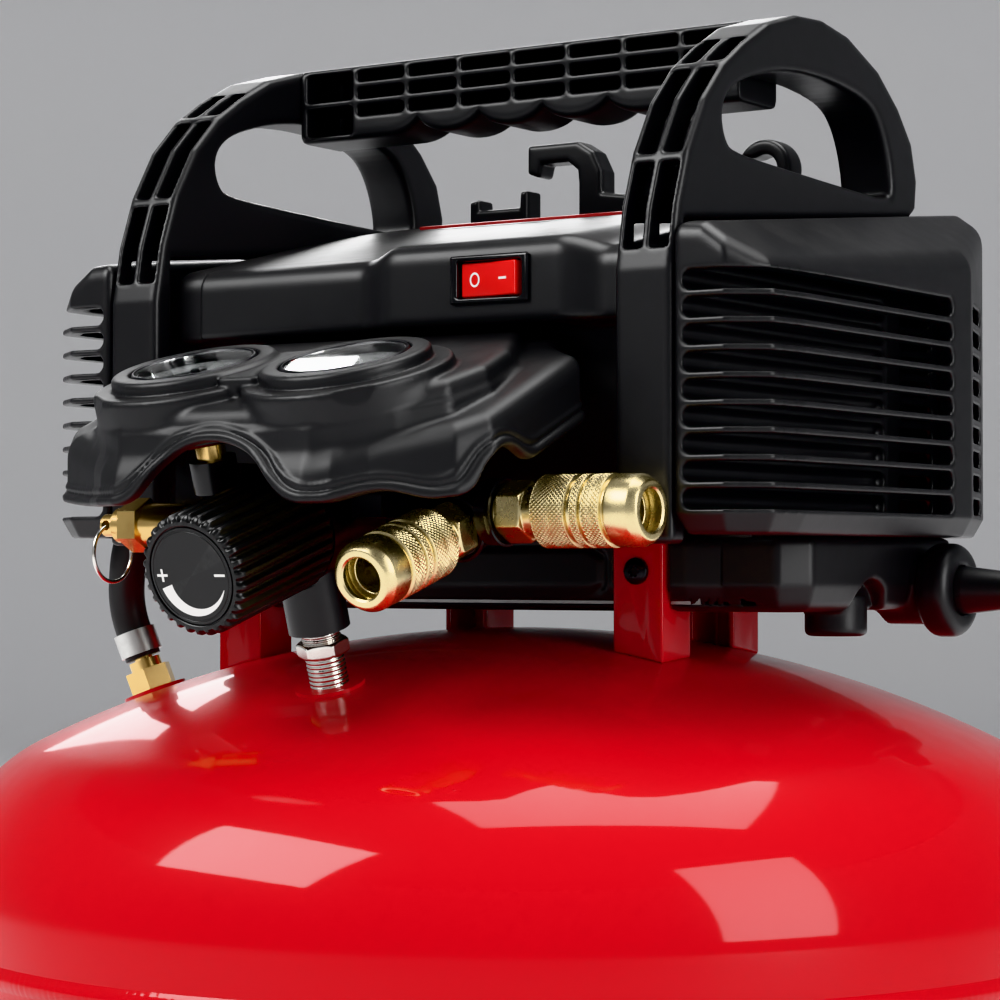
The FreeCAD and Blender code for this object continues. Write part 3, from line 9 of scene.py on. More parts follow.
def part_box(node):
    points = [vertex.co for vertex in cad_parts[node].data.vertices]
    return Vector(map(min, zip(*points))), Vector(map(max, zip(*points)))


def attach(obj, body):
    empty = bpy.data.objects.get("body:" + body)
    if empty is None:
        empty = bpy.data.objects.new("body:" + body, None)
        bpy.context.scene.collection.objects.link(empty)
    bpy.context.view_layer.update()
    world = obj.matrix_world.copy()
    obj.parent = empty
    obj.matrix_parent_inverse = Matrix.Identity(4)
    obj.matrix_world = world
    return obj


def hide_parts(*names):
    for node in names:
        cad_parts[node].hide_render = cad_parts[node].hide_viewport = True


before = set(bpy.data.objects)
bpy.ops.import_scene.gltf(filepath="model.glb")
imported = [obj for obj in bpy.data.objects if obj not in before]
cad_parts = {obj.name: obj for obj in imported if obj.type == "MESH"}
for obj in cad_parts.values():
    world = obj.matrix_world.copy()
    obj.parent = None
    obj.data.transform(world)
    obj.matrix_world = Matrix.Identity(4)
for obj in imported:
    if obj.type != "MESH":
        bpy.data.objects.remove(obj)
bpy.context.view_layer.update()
scene = bpy.context.scene
print("frame loaded:", len(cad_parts), "nodes")

metre = 0.001                                   # sizes below are in millimetres
fullTurn = 2 * math.pi
farAway = 1e9                                   # a distance beyond every shape
coarse = 1.0

# camera, floor and lights
camera = {"place": (582.8, -896.4, 276.3), "pitch": 91.28, "turn": 33.44, "lens": 103.7, "film": 36.0,
          "near": 0.01, "far": 50}
studio = {"floorRadius": 3400, "bend": 1300, "wall": 3200, "grey": 0.76, "world": 0.15,
          "sky": (0.93, 0.95, 1.0, 1), "around": 96, "bendSteps": 12, "rings": (1, 400, 1200), "rough": 0.75}
lamps = [
    {"name": "keyLamp", "place": (-900, -1750, 1900), "aim": (0, -40, 250), "size": (1500, 1100), "watts": 66},
    {"name": "topLamp", "place": (250, 250, 2300), "aim": (0, 0, 200), "size": (1500, 1500), "watts": 46},
    {"name": "sideLamp", "place": (2000, -350, 950), "aim": (80, 0, 250), "size": (900, 1600), "watts": 30},
    {"name": "rearLamp", "place": (-1500, 1700, 1300), "aim": (0, 0, 280), "size": (1200, 1200), "watts": 27},
]


def addCamera(d):
    data = bpy.data.cameras.new("studioCamera")
    data.lens = d["lens"]
    data.sensor_width = d["film"]
    data.clip_start = d["near"]
    data.clip_end = d["far"]
    eye = bpy.data.objects.new("studioCamera", data)
    eye.location = Vector(d["place"]) * metre
    eye.rotation_euler = (math.radians(d["pitch"]), 0, math.radians(d["turn"]))
    scene.collection.objects.link(eye)
    scene.camera = eye


def addLamp(d):
    data = bpy.data.lights.new(d["name"], "AREA")
    data.shape = "RECTANGLE"
    data.size = d["size"][0] * metre
    data.size_y = d["size"][1] * metre
    data.energy = d["watts"]
    lamp = bpy.data.objects.new(d["name"], data)
    lamp.location = Vector(d["place"]) * metre
    aim = Vector(d["aim"]) * metre - lamp.location
    lamp.rotation_euler = aim.to_track_quat("-Z", "Y").to_euler()
    scene.collection.objects.link(lamp)


addCamera(camera)
for lampSpec in lamps:
    addLamp(lampSpec)
world = bpy.data.worlds.new("studioWorld")
world.use_nodes = True
world.node_tree.nodes["Background"].inputs["Color"].default_value = studio["sky"]
world.node_tree.nodes["Background"].inputs["Strength"].default_value = studio["world"]
scene.world = world
scene.view_settings.view_transform = "Khronos PBR Neutral"   # keeps the saturated red true


def groupTree(name, takes, gives):
    tree = bpy.data.node_groups.new(name, "ShaderNodeTree")
    for label, kind, value in takes:
        socket = tree.interface.new_socket(name=label, in_out="INPUT", socket_type=kind)
        if value is not None:
            socket.default_value = value
    for label, kind in gives:
        tree.interface.new_socket(name=label, in_out="OUTPUT", socket_type=kind)
    start = tree.nodes.new("NodeGroupInput")
    end = tree.nodes.new("NodeGroupOutput")
    return tree, start, end


def mathNode(tree, operation, first, second=None, clamp=False):
    node = tree.nodes.new("ShaderNodeMath")
    node.operation = operation
    node.use_clamp = clamp
    for socket, value in zip(node.inputs, (first, second)):
        if value is None:
            continue
        if isinstance(value, bpy.types.NodeSocket):
            tree.links.new(value, socket)
        else:
            socket.default_value = value
    return node.outputs[0]


def noiseNode(tree, vector, scale, detail=3.0, rough=0.5):
    node = tree.nodes.new("ShaderNodeTexNoise")
    tree.links.new(vector, node.inputs["Vector"])
    if isinstance(scale, bpy.types.NodeSocket):
        tree.links.new(scale, node.inputs["Scale"])
    else:
        node.inputs["Scale"].default_value = scale
    node.inputs["Detail"].default_value = detail
    node.inputs["Roughness"].default_value = rough
    return node.outputs["Fac"]


def placeVector(tree):
    return tree.nodes.new("ShaderNodeTexCoord").outputs["Object"]


def makeSurfaceHaze():
    # uneven gloss: broad smears and fine rubbing, added to a base roughness
    takes = [("Base", "NodeSocketFloat", 0.4), ("Amount", "NodeSocketFloat", 0.1),
             ("Scale", "NodeSocketFloat", 20.0)]
    tree, start, end = groupTree("surfaceHaze", takes, [("Roughness", "NodeSocketFloat")])
    vector = placeVector(tree)
    broad = noiseNode(tree, vector, start.outputs["Scale"], 4.0, 0.6)
    finer, broadShare, fineShare = 11.0, 0.7, 0.3
    fine = noiseNode(tree, vector, mathNode(tree, "MULTIPLY", start.outputs["Scale"], finer), 2.0)
    broadPart = mathNode(tree, "MULTIPLY", broad, broadShare)
    both = mathNode(tree, "ADD", broadPart, mathNode(tree, "MULTIPLY", fine, fineShare))
    centred = mathNode(tree, "SUBTRACT", both, 0.5)
    shift = mathNode(tree, "MULTIPLY", centred, mathNode(tree, "MULTIPLY", start.outputs["Amount"], 2.0))
    out = mathNode(tree, "ADD", start.outputs["Base"], shift, True)
    tree.links.new(out, end.inputs["Roughness"])


def makeEdgeWear():
    # a mask along convex edges, broken up by noise
    takes = [("Start", "NodeSocketFloat", 0.52), ("Width", "NodeSocketFloat", 0.08),
             ("Scale", "NodeSocketFloat", 260.0)]
    tree, start, end = groupTree("edgeWear", takes, [("Mask", "NodeSocketFloat")])
    pointy = tree.nodes.new("ShaderNodeNewGeometry").outputs["Pointiness"]
    above = mathNode(tree, "SUBTRACT", pointy, start.outputs["Start"])
    rise = mathNode(tree, "DIVIDE", above, start.outputs["Width"], True)
    breaks = noiseNode(tree, placeVector(tree), start.outputs["Scale"], 4.0, 0.65)
    level, gain = 0.35, 2.4
    lifted = mathNode(tree, "MULTIPLY", mathNode(tree, "SUBTRACT", breaks, level), gain, True)
    tree.links.new(mathNode(tree, "MULTIPLY", rise, lifted, True), end.inputs["Mask"])


def makeMouldedGrain():
    # the fine leathery grain that a spark-eroded mould leaves
    takes = [("Scale", "NodeSocketFloat", 900.0)]
    tree, start, end = groupTree("mouldedGrain", takes, [("Height", "NodeSocketFloat")])
    vector = placeVector(tree)
    cells = tree.nodes.new("ShaderNodeTexVoronoi")
    cells.feature = "SMOOTH_F1"
    tree.links.new(vector, cells.inputs["Vector"])
    tree.links.new(start.outputs["Scale"], cells.inputs["Scale"])
    finer, cellShare, fineShare = 1.7, 0.6, 0.5
    fine = noiseNode(tree, vector, mathNode(tree, "MULTIPLY", start.outputs["Scale"], finer), 2.0)
    cellPart = mathNode(tree, "MULTIPLY", cells.outputs["Distance"], cellShare)
    mixed = mathNode(tree, "ADD", cellPart, mathNode(tree, "MULTIPLY", fine, fineShare))
    tree.links.new(mixed, end.inputs["Height"])


def makeOrangePeel():
    # slow ripples in sprayed paint
    takes = [("Scale", "NodeSocketFloat", 140.0)]
    tree, start, end = groupTree("orangePeel", takes, [("Height", "NodeSocketFloat")])
    vector = placeVector(tree)
    slow = noiseNode(tree, vector, start.outputs["Scale"], 2.0, 0.4)
    wider, slowShare, slowerShare = 0.12, 0.35, 0.65
    slower = noiseNode(tree, vector, mathNode(tree, "MULTIPLY", start.outputs["Scale"], wider), 2.0, 0.5)
    slowPart = mathNode(tree, "MULTIPLY", slow, slowShare)
    both = mathNode(tree, "ADD", slowPart, mathNode(tree, "MULTIPLY", slower, slowerShare))
    tree.links.new(both, end.inputs["Height"])


def makeTurnedLines():
    # tool lines that run round a turned part: noise stretched across an axis
    takes = [("Axis", "NodeSocketVector", (0, 0, 1)), ("Scale", "NodeSocketFloat", 2600.0)]
    tree, start, end = groupTree("turnedLines", takes, [("Height", "NodeSocketFloat")])
    dot = tree.nodes.new("ShaderNodeVectorMath")
    dot.operation = "DOT_PRODUCT"
    tree.links.new(placeVector(tree), dot.inputs[0])
    tree.links.new(start.outputs["Axis"], dot.inputs[1])
    line = tree.nodes.new("ShaderNodeTexNoise")
    line.noise_dimensions = "1D"
    tree.links.new(dot.outputs["Value"], line.inputs["W"])
    tree.links.new(start.outputs["Scale"], line.inputs["Scale"])
    line.inputs["Detail"].default_value = 4.0
    tree.links.new(line.outputs["Fac"], end.inputs["Height"])


def makeDustFilm():
    # a thin film of dust where the surface faces up
    takes = [("Amount", "NodeSocketFloat", 0.3), ("Scale", "NodeSocketFloat", 45.0)]
    tree, start, end = groupTree("dustFilm", takes, [("Mask", "NodeSocketFloat")])
    parts = tree.nodes.new("ShaderNodeSeparateXYZ")
    tree.links.new(tree.nodes.new("ShaderNodeNewGeometry").outputs["Normal"], parts.inputs[0])
    facing, facingGain, level, gain = 0.35, 1.6, 0.4, 2.2
    up = mathNode(tree, "MULTIPLY", mathNode(tree, "SUBTRACT", parts.outputs["Z"], facing), facingGain, True)
    patches = noiseNode(tree, placeVector(tree), start.outputs["Scale"], 6.0, 0.7)
    specks = mathNode(tree, "MULTIPLY", mathNode(tree, "SUBTRACT", patches, level), gain, True)
    mask = mathNode(tree, "MULTIPLY", mathNode(tree, "MULTIPLY", up, specks), start.outputs["Amount"], True)
    tree.links.new(mask, end.inputs["Mask"])


makeSurfaceHaze()
makeEdgeWear()
makeMouldedGrain()
makeOrangePeel()
makeTurnedLines()
makeDustFilm()
print("effects made:", len(bpy.data.node_groups))

# materials
finishes = {
    "blackShell": {"colour": (0.008, 0.008, 0.0085), "worn": (0.045, 0.045, 0.047), "rough": 0.4,
                   "haze": 0.1, "hazeScale": 14, "grain": 1500, "bump": 0.1,
                   "bumpDepth": 0.12, "wear": 0.3, "dust": 0.1},
    "blackConsole": {"colour": (0.008, 0.008, 0.0085), "worn": (0.045, 0.045, 0.047), "rough": 0.46,
                     "haze": 0.1, "hazeScale": 18, "grain": 1700, "bump": 0.07,
                     "bumpDepth": 0.1, "wear": 0.3, "dust": 0.08},
    "blackGloss": {"colour": (0.004, 0.004, 0.0045), "worn": (0.04, 0.04, 0.04), "rough": 0.22,
                   "haze": 0.08, "hazeScale": 30, "grain": 900, "bump": 0.03,
                   "bumpDepth": 0.06, "wear": 0.25, "dust": 0.0},
    "knobBlack": {"colour": (0.004, 0.004, 0.004), "worn": (0.05, 0.05, 0.05), "rough": 0.34,
                  "haze": 0.1, "hazeScale": 30, "grain": 1900, "bump": 0.08,
                  "bumpDepth": 0.1, "wear": 0.35, "dust": 0.0},
    "hoseRubber": {"colour": (0.007, 0.007, 0.007), "worn": (0.04, 0.04, 0.04), "rough": 0.46,
                   "haze": 0.12, "hazeScale": 40, "grain": 700, "bump": 0.12,
                   "bumpDepth": 0.15, "wear": 0.15, "dust": 0.12},
    "footRubber": {"colour": (0.016, 0.016, 0.016), "worn": (0.06, 0.06, 0.06), "rough": 0.72,
                   "haze": 0.12, "hazeScale": 40, "grain": 500, "bump": 0.2,
                   "bumpDepth": 0.2, "wear": 0.25, "dust": 0.2},
    "redSwitch": {"colour": (0.62, 0.012, 0.01), "worn": (0.7, 0.08, 0.06), "rough": 0.16,
                  "haze": 0.06, "hazeScale": 60, "grain": 900, "bump": 0.02,
                  "bumpDepth": 0.05, "wear": 0.2, "dust": 0.0},
    "redLever": {"colour": (0.45, 0.01, 0.01), "worn": (0.6, 0.08, 0.06), "rough": 0.35,
                 "haze": 0.1, "hazeScale": 60, "grain": 900, "bump": 0.06,
                 "bumpDepth": 0.08, "wear": 0.3, "dust": 0.1},
    "greyPlastic": {"colour": (0.2, 0.2, 0.2), "worn": (0.35, 0.35, 0.35), "rough": 0.45,
                    "haze": 0.1, "hazeScale": 30, "grain": 1200, "bump": 0.06,
                    "bumpDepth": 0.1, "wear": 0.2, "dust": 0.2},
}
metals = {
    "brass": {"colour": (0.8, 0.56, 0.24), "dark": (0.45, 0.29, 0.11), "rough": 0.24,
              "haze": 0.12, "axis": (0, 0, 1)},
    "paleBrass": {"colour": (0.78, 0.66, 0.38), "dark": (0.66, 0.54, 0.3), "rough": 0.27,
                  "haze": 0.12, "axis": (0, 1, 0)},
    "nickel": {"colour": (0.74, 0.72, 0.68), "dark": (0.4, 0.38, 0.35), "rough": 0.2,
               "haze": 0.12, "axis": (0, 1, 0)},
    "zincSteel": {"colour": (0.62, 0.62, 0.6), "dark": (0.3, 0.29, 0.27), "rough": 0.32,
                  "haze": 0.16, "axis": (1, 0, 0)},
    "castAluminium": {"colour": (0.5, 0.5, 0.5), "dark": (0.26, 0.26, 0.26), "rough": 0.52,
                      "haze": 0.16, "axis": (0, 0, 1)},
    "lamination": {"colour": (0.3, 0.29, 0.28), "dark": (0.12, 0.1, 0.09), "rough": 0.5,
                   "haze": 0.18, "axis": (1, 0, 0)},
    "blackScrew": {"colour": (0.04, 0.04, 0.042), "dark": (0.012, 0.012, 0.012), "rough": 0.34,
                   "haze": 0.14, "axis": (0, 1, 0)},
}
paint = {"colour": (0.5, 0.001, 0.006), "deep": (0.43, 0.001, 0.005), "chipped": (0.45, 0.05, 0.05), "rough": 0.35,
         "haze": 0.1, "hazeScale": 9.0, "peel": 150, "bump": 0.05, "bumpDepth": 0.5, "coat": 0.55, "specular": 0.06,
         "coatRough": 0.06, "drift": 6.0, "wear": 0.35, "dust": 0.05, "dustColour": (0.35, 0.25, 0.24)}
plasticEdge = {"Start": 0.53, "Width": 0.10}
metalEdge = {"Start": 0.53, "Width": 0.12}
paintEdge = {"Start": 0.56, "Width": 0.10, "Scale": 420.0}
plasticDust = (0.22, 0.21, 0.20)
stain = {"scale": 90.0, "level": 0.45, "gain": 1.3, "wear": 0.5, "hazeScale": 60.0, "bump": 0.05, "bumpDepth": 0.04}
materials = {}


def newMaterial(name):
    material = bpy.data.materials.new(name)
    material.use_nodes = True
    tree = material.node_tree
    shader = tree.nodes["Principled BSDF"]
    materials[name] = material
    return material, tree, shader


def useGroup(tree, name, **values):
    node = tree.nodes.new("ShaderNodeGroup")
    node.node_tree = bpy.data.node_groups[name]
    for label, value in values.items():
        node.inputs[label].default_value = value
    return node


def mixColour(tree, mask, first, second):
    node = tree.nodes.new("ShaderNodeMix")
    node.data_type = "RGBA"
    tree.links.new(mask, node.inputs["Factor"])
    for socket, value in ((node.inputs["A"], first), (node.inputs["B"], second)):
        if isinstance(value, bpy.types.NodeSocket):
            tree.links.new(value, socket)
        else:
            socket.default_value = (*value, 1)
    return node.outputs["Result"]


def bumpFrom(tree, shader, height, strength, depth):
    bump = tree.nodes.new("ShaderNodeBump")
    bump.inputs["Strength"].default_value = strength
    bump.inputs["Distance"].default_value = depth * metre
    tree.links.new(height, bump.inputs["Height"])
    tree.links.new(bump.outputs["Normal"], shader.inputs["Normal"])


def makePlastic(name, d):
    material, tree, shader = newMaterial(name)
    wear = useGroup(tree, "edgeWear", **plasticEdge)
    worn = mathNode(tree, "MULTIPLY", wear.outputs["Mask"], d["wear"])
    colour = mixColour(tree, worn, d["colour"], d["worn"])
    dust = useGroup(tree, "dustFilm", Amount=d["dust"])
    colour = mixColour(tree, dust.outputs["Mask"], colour, plasticDust)
    tree.links.new(colour, shader.inputs["Base Color"])
    haze = useGroup(tree, "surfaceHaze", Base=d["rough"], Amount=d["haze"], Scale=d["hazeScale"])
    tree.links.new(haze.outputs["Roughness"], shader.inputs["Roughness"])
    grain = useGroup(tree, "mouldedGrain", Scale=d["grain"])
    bumpFrom(tree, shader, grain.outputs["Height"], d["bump"], d["bumpDepth"])
    shader.inputs["Specular IOR Level"].default_value = 0.5
    return material


def makeMetal(name, d):
    material, tree, shader = newMaterial(name)
    shader.inputs["Metallic"].default_value = 1.0
    patches = noiseNode(tree, placeVector(tree), stain["scale"], 5.0, 0.6)
    above = mathNode(tree, "SUBTRACT", patches, stain["level"])
    stained = mathNode(tree, "MULTIPLY", above, stain["gain"], True)
    colour = mixColour(tree, stained, d["colour"], d["dark"])
    wear = useGroup(tree, "edgeWear", **metalEdge)
    worn = mathNode(tree, "MULTIPLY", wear.outputs["Mask"], stain["wear"])
    colour = mixColour(tree, worn, colour, d["colour"])
    tree.links.new(colour, shader.inputs["Base Color"])
    haze = useGroup(tree, "surfaceHaze", Base=d["rough"], Amount=d["haze"], Scale=stain["hazeScale"])
    tree.links.new(haze.outputs["Roughness"], shader.inputs["Roughness"])
    lines = useGroup(tree, "turnedLines", Axis=d["axis"])
    bumpFrom(tree, shader, lines.outputs["Height"], stain["bump"], stain["bumpDepth"])
    return material


def makePaint(name, d):
    material, tree, shader = newMaterial(name)
    drift = noiseNode(tree, placeVector(tree), d["drift"], 3.0)
    colour = mixColour(tree, drift, d["colour"], d["deep"])
    wear = useGroup(tree, "edgeWear", **paintEdge)
    worn = mathNode(tree, "MULTIPLY", wear.outputs["Mask"], d["wear"])
    colour = mixColour(tree, worn, colour, d["chipped"])
    dust = useGroup(tree, "dustFilm", Amount=d["dust"])
    colour = mixColour(tree, dust.outputs["Mask"], colour, d["dustColour"])
    tree.links.new(colour, shader.inputs["Base Color"])
    haze = useGroup(tree, "surfaceHaze", Base=d["rough"], Amount=d["haze"], Scale=d["hazeScale"])
    tree.links.new(haze.outputs["Roughness"], shader.inputs["Roughness"])
    peel = useGroup(tree, "orangePeel", Scale=d["peel"])
    bumpFrom(tree, shader, peel.outputs["Height"], d["bump"], d["bumpDepth"])
    shader.inputs["Coat Weight"].default_value = d["coat"]
    shader.inputs["Specular IOR Level"].default_value = d["specular"]
    shader.inputs["Coat Roughness"].default_value = d["coatRough"]
    return material


for finishName, finishSpec in finishes.items():
    makePlastic(finishName, finishSpec)
for metalName, metalSpec in metals.items():
    makeMetal(metalName, metalSpec)
makePaint("redPaint", paint)


def makeDialPaper():
    material, tree, shader = newMaterial("dialPaper")
    fleck = noiseNode(tree, placeVector(tree), 700.0, 3.0)
    tree.links.new(mixColour(tree, fleck, (0.55, 0.56, 0.56), (0.66, 0.67, 0.67)), shader.inputs["Base Color"])
    haze = useGroup(tree, "surfaceHaze", Base=0.45, Amount=0.08, Scale=80.0)
    tree.links.new(haze.outputs["Roughness"], shader.inputs["Roughness"])


def makeClearLens():
    material, tree, shader = newMaterial("clearLens")
    shader.inputs["Base Color"].default_value = (0.97, 0.98, 0.98, 1)
    shader.inputs["Transmission Weight"].default_value = 1.0
    shader.inputs["IOR"].default_value = 1.46
    haze = useGroup(tree, "surfaceHaze", Base=0.03, Amount=0.02, Scale=90.0)
    tree.links.new(haze.outputs["Roughness"], shader.inputs["Roughness"])


def makeInk(name, colour):
    material, tree, shader = newMaterial(name)
    fade = noiseNode(tree, placeVector(tree), 500.0, 4.0)
    faded = tuple(channel * 0.86 + 0.01 for channel in colour)
    tree.links.new(mixColour(tree, fade, colour, faded), shader.inputs["Base Color"])
    haze = useGroup(tree, "surfaceHaze", Base=0.42, Amount=0.1, Scale=90.0)
    tree.links.new(haze.outputs["Roughness"], shader.inputs["Roughness"])


def makeStudioPaper():
    material, tree, shader = newMaterial("studioPaper")
    grey = studio["grey"]
    drift = noiseNode(tree, placeVector(tree), 3.0, 4.0)
    colour = mixColour(tree, drift, (grey, grey, grey), (grey * 0.98, grey * 0.98, grey))
    tree.links.new(colour, shader.inputs["Base Color"])
    shader.inputs["Roughness"].default_value = studio["rough"]


makeDialPaper()
makeClearLens()
makeInk("whiteInk", (0.78, 0.78, 0.76))
makeInk("blackInk", (0.012, 0.012, 0.012))
makeInk("redInk", (0.45, 0.02, 0.02))
makeStudioPaper()
print("materials made:", len(materials))


def addPiece(name, mesh, material, body=None, replaced=()):
    piece = bpy.data.objects.new(name, mesh)
    scene.collection.objects.link(piece)
    if material:
        mesh.materials.clear()
        mesh.materials.append(materials[material])
    if body:
        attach(piece, body)
    for node in replaced:
        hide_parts(node)
    return piece


def meshFrom(name, points, faces, smooth=True, scaled=True):
    unit = metre if scaled else 1.0
    mesh = bpy.data.meshes.new(name)
    mesh.from_pydata([tuple(value * unit for value in point) for point in points], [], faces)
    mesh.validate()
    if smooth:
        mesh.shade_smooth()
    return mesh


def latheMesh(name, profile, segments=96, matrix=None, ripple=None):
    # profile: (radius, height) pairs along +Z; ripple(angle, radius, height) changes a radius
    points = []
    faces = []
    rows = len(profile)
    for step in range(segments):
        angle = fullTurn * step / segments
        for radius, height in profile:
            r = ripple(angle, radius, height) if ripple else radius
            points.append((r * math.cos(angle), r * math.sin(angle), height))
    for step in range(segments):
        after = (step + 1) % segments
        for row in range(rows - 1):
            faces.append((step * rows + row, after * rows + row, after * rows + row + 1, step * rows + row + 1))
    mesh = meshFrom(name, points, faces)
    closeEnds(mesh)
    if matrix:
        mesh.transform(matrix)
    return mesh


def closeEnds(mesh):
    work = bmesh.new()
    work.from_mesh(mesh)
    bmesh.ops.remove_doubles(work, verts=work.verts, dist=1e-6)
    edges = [edge for edge in work.edges if edge.is_boundary]
    if edges:
        bmesh.ops.holes_fill(work, edges=edges, sides=0)
    bmesh.ops.recalc_face_normals(work, faces=work.faces)
    work.to_mesh(mesh)
    work.free()
    mesh.shade_smooth()
    mesh.set_sharp_from_angle(angle=math.radians(35))


def finished(piece):
    # bakes the modifiers into the mesh and drops them
    graph = bpy.context.evaluated_depsgraph_get()
    graph.update()
    mesh = bpy.data.meshes.new_from_object(piece.evaluated_get(graph))
    old = piece.data
    piece.modifiers.clear()
    piece.data = mesh
    if isinstance(old, bpy.types.Mesh) and old.users == 0:
        bpy.data.meshes.remove(old)
    return piece


def bevelled(piece, width, segments=2, angle=30, clamp=False):
    bevel = piece.modifiers.new("edges", "BEVEL")
    bevel.width = width * metre
    bevel.segments = segments
    bevel.limit_method = "ANGLE"
    bevel.angle_limit = math.radians(angle)
    bevel.harden_normals = True
    bevel.use_clamp_overlap = clamp
    bevel.miter_outer = "MITER_ARC"
    piece.data.shade_smooth()
    finished(piece)
    piece.data.set_sharp_from_angle(angle=math.radians(40))
    return piece


def copyOfNode(name, node):
    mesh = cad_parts[node].data.copy()
    mesh.name = name
    work = bmesh.new()
    work.from_mesh(mesh)
    bmesh.ops.remove_doubles(work, verts=work.verts, dist=2e-6)
    bmesh.ops.dissolve_limit(work, angle_limit=math.radians(0.8), verts=work.verts, edges=work.edges)
    work.to_mesh(mesh)
    work.free()
    return mesh


def softened(name, node, material, body, width=0.8, segments=3, angle=30):
    mesh = copyOfNode(name, node)
    piece = addPiece(name, mesh, material)
    bevelled(piece, width, segments, angle)
    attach(piece, body)
    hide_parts(node)
    return piece


def dress(node, material):
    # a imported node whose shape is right: it only gets its finish
    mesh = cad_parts[node].data
    mesh.materials.clear()
    mesh.materials.append(materials[material])


def makeStage():
    d = studio
    profile = [(radius, 0) for radius in d["rings"]] + [(d["floorRadius"], 0)]
    for step in range(1, d["bendSteps"] + 1):
        angle = math.radians(90 * step / d["bendSteps"])
        profile.append((d["floorRadius"] + d["bend"] * math.sin(angle), d["bend"] * (1 - math.cos(angle))))
    profile.append((d["floorRadius"] + d["bend"], d["wall"]))
    points = []
    faces = []
    count = d["around"]
    for step in range(count):
        turn = fullTurn * step / count
        points += [(r * math.cos(turn), r * math.sin(turn), z) for r, z in profile]
    rows = len(profile)
    for step in range(count):
        after = (step + 1) % count
        for row in range(rows - 1):
            faces.append((step * rows + row, after * rows + row, after * rows + row + 1, step * rows + row + 1))
    faces.append(tuple(step * rows for step in range(count)))
    floor = addPiece("studioFloor", meshFrom("studioFloor", points, faces), "studioPaper")


makeStage()
print("stage made")


class Block:
    # a block of sample points in millimetres, and the skin taken from a field over it
    def __init__(self, low, high, step):
        self.low = np.array(low, float) - 2 * step
        self.step = step
        counts = [int((b - a) / step) + 5 for a, b in zip(low, high)]
        axes = [self.low[n] + step * np.arange(counts[n]) for n in range(3)]
        self.x, self.y, self.z = np.meshgrid(*axes, indexing="ij", sparse=True)
        self.shape = tuple(counts)

    def skin(self, name, field):
        field = np.broadcast_to(field, self.shape).astype(np.float32)
        inside = field < 0
        corners = [(a, b, c) for a in (0, 1) for b in (0, 1) for c in (0, 1)]
        count = np.zeros([n - 1 for n in self.shape], np.uint8)
        for a, b, c in corners:
            count += inside[a:self.shape[0] - 1 + a, b:self.shape[1] - 1 + b, c:self.shape[2] - 1 + c]
        cells = np.argwhere((count > 0) & (count < 8))
        total = np.zeros((len(cells), 3))
        hits = np.zeros(len(cells))
        for first in corners:
            for second in corners:
                if sum(second) != sum(first) + 1 or sum(abs(p - q) for p, q in zip(first, second)) != 1:
                    continue
                near = field[tuple((cells + first).T)]
                far = field[tuple((cells + second).T)]
                crossed = (near < 0) != (far < 0)
                share = near[crossed] / (near[crossed] - far[crossed])
                total[crossed] += np.array(first) + share[:, None] * (np.array(second) - np.array(first))
                hits[crossed] += 1
        points = (self.low + (cells + total / hits[:, None]) * self.step) * metre
        order = np.full(count.shape, -1, np.int64)
        order[tuple(cells.T)] = np.arange(len(cells))
        faces = []
        for axis in range(3):
            one, two = (axis + 1) % 3, (axis + 2) % 3
            front = [slice(1, -1)] * 3
            back = [slice(1, -1)] * 3
            front[axis], back[axis] = slice(0, -1), slice(1, None)
            start, stop = inside[tuple(front)], inside[tuple(back)]
            for leaving in (True, False):
                found = np.argwhere((start & ~stop) if leaving else (~start & stop))
                found[:, one] += 1
                found[:, two] += 1
                ring = []
                for stepOne, stepTwo in ((-1, -1), (0, -1), (0, 0), (-1, 0)):
                    spot = found.copy()
                    spot[:, one] += stepOne
                    spot[:, two] += stepTwo
                    ring.append(order[tuple(spot.T)])
                quads = np.stack(ring, 1)
                faces.append(quads if leaving else quads[:, ::-1])
        faces = np.concatenate(faces)
        faces = faces[(faces >= 0).all(1)]
        mesh = bpy.data.meshes.new(name)
        mesh.vertices.add(len(points))
        mesh.vertices.foreach_set("co", points.astype(np.float32).ravel())
        mesh.loops.add(faces.size)
        mesh.loops.foreach_set("vertex_index", faces.astype(np.int32).ravel())
        mesh.polygons.add(len(faces))
        mesh.polygons.foreach_set("loop_start", np.arange(0, faces.size, 4, dtype=np.int32))
        mesh.update(calc_edges=True)
        mesh.validate()
        mesh.shade_smooth()
        return mesh


def hypot(*values):
    return np.sqrt(sum(value * value for value in values))


def over(value):
    return np.maximum(value, 0)


def meet(first, second, soft=0.0):
    # where both solids are; soft rounds the edge between them
    if not soft:
        return np.maximum(first, second)
    blend = over(soft - np.abs(first - second)) / soft
    return np.maximum(first, second) + blend * blend * soft * 0.25


def join(first, second, soft=0.0):
    return -meet(-first, -second, soft)


def trim(first, second, soft=0.0):
    return meet(first, -second, soft)


def insetOutline(points, inset):
    # moves each side of a closed outline inwards
    area = sum(a[0] * b[1] - b[0] * a[1] for a, b in zip(points, points[1:] + points[:1]))
    sign = 1 if area > 0 else -1
    moved = []
    for before, here, after in zip(points[-1:] + points[:-1], points, points[1:] + points[:1]):
        first = np.array(here, float) - before
        second = np.array(after, float) - here
        first /= np.linalg.norm(first)
        second /= np.linalg.norm(second)
        normalOne = np.array((-first[1], first[0])) * sign
        normalTwo = np.array((-second[1], second[0])) * sign
        middle = normalOne + normalTwo
        middle /= max(np.dot(middle, normalOne), 0.2)
        moved.append(tuple(np.array(here) + middle * inset))
    return moved


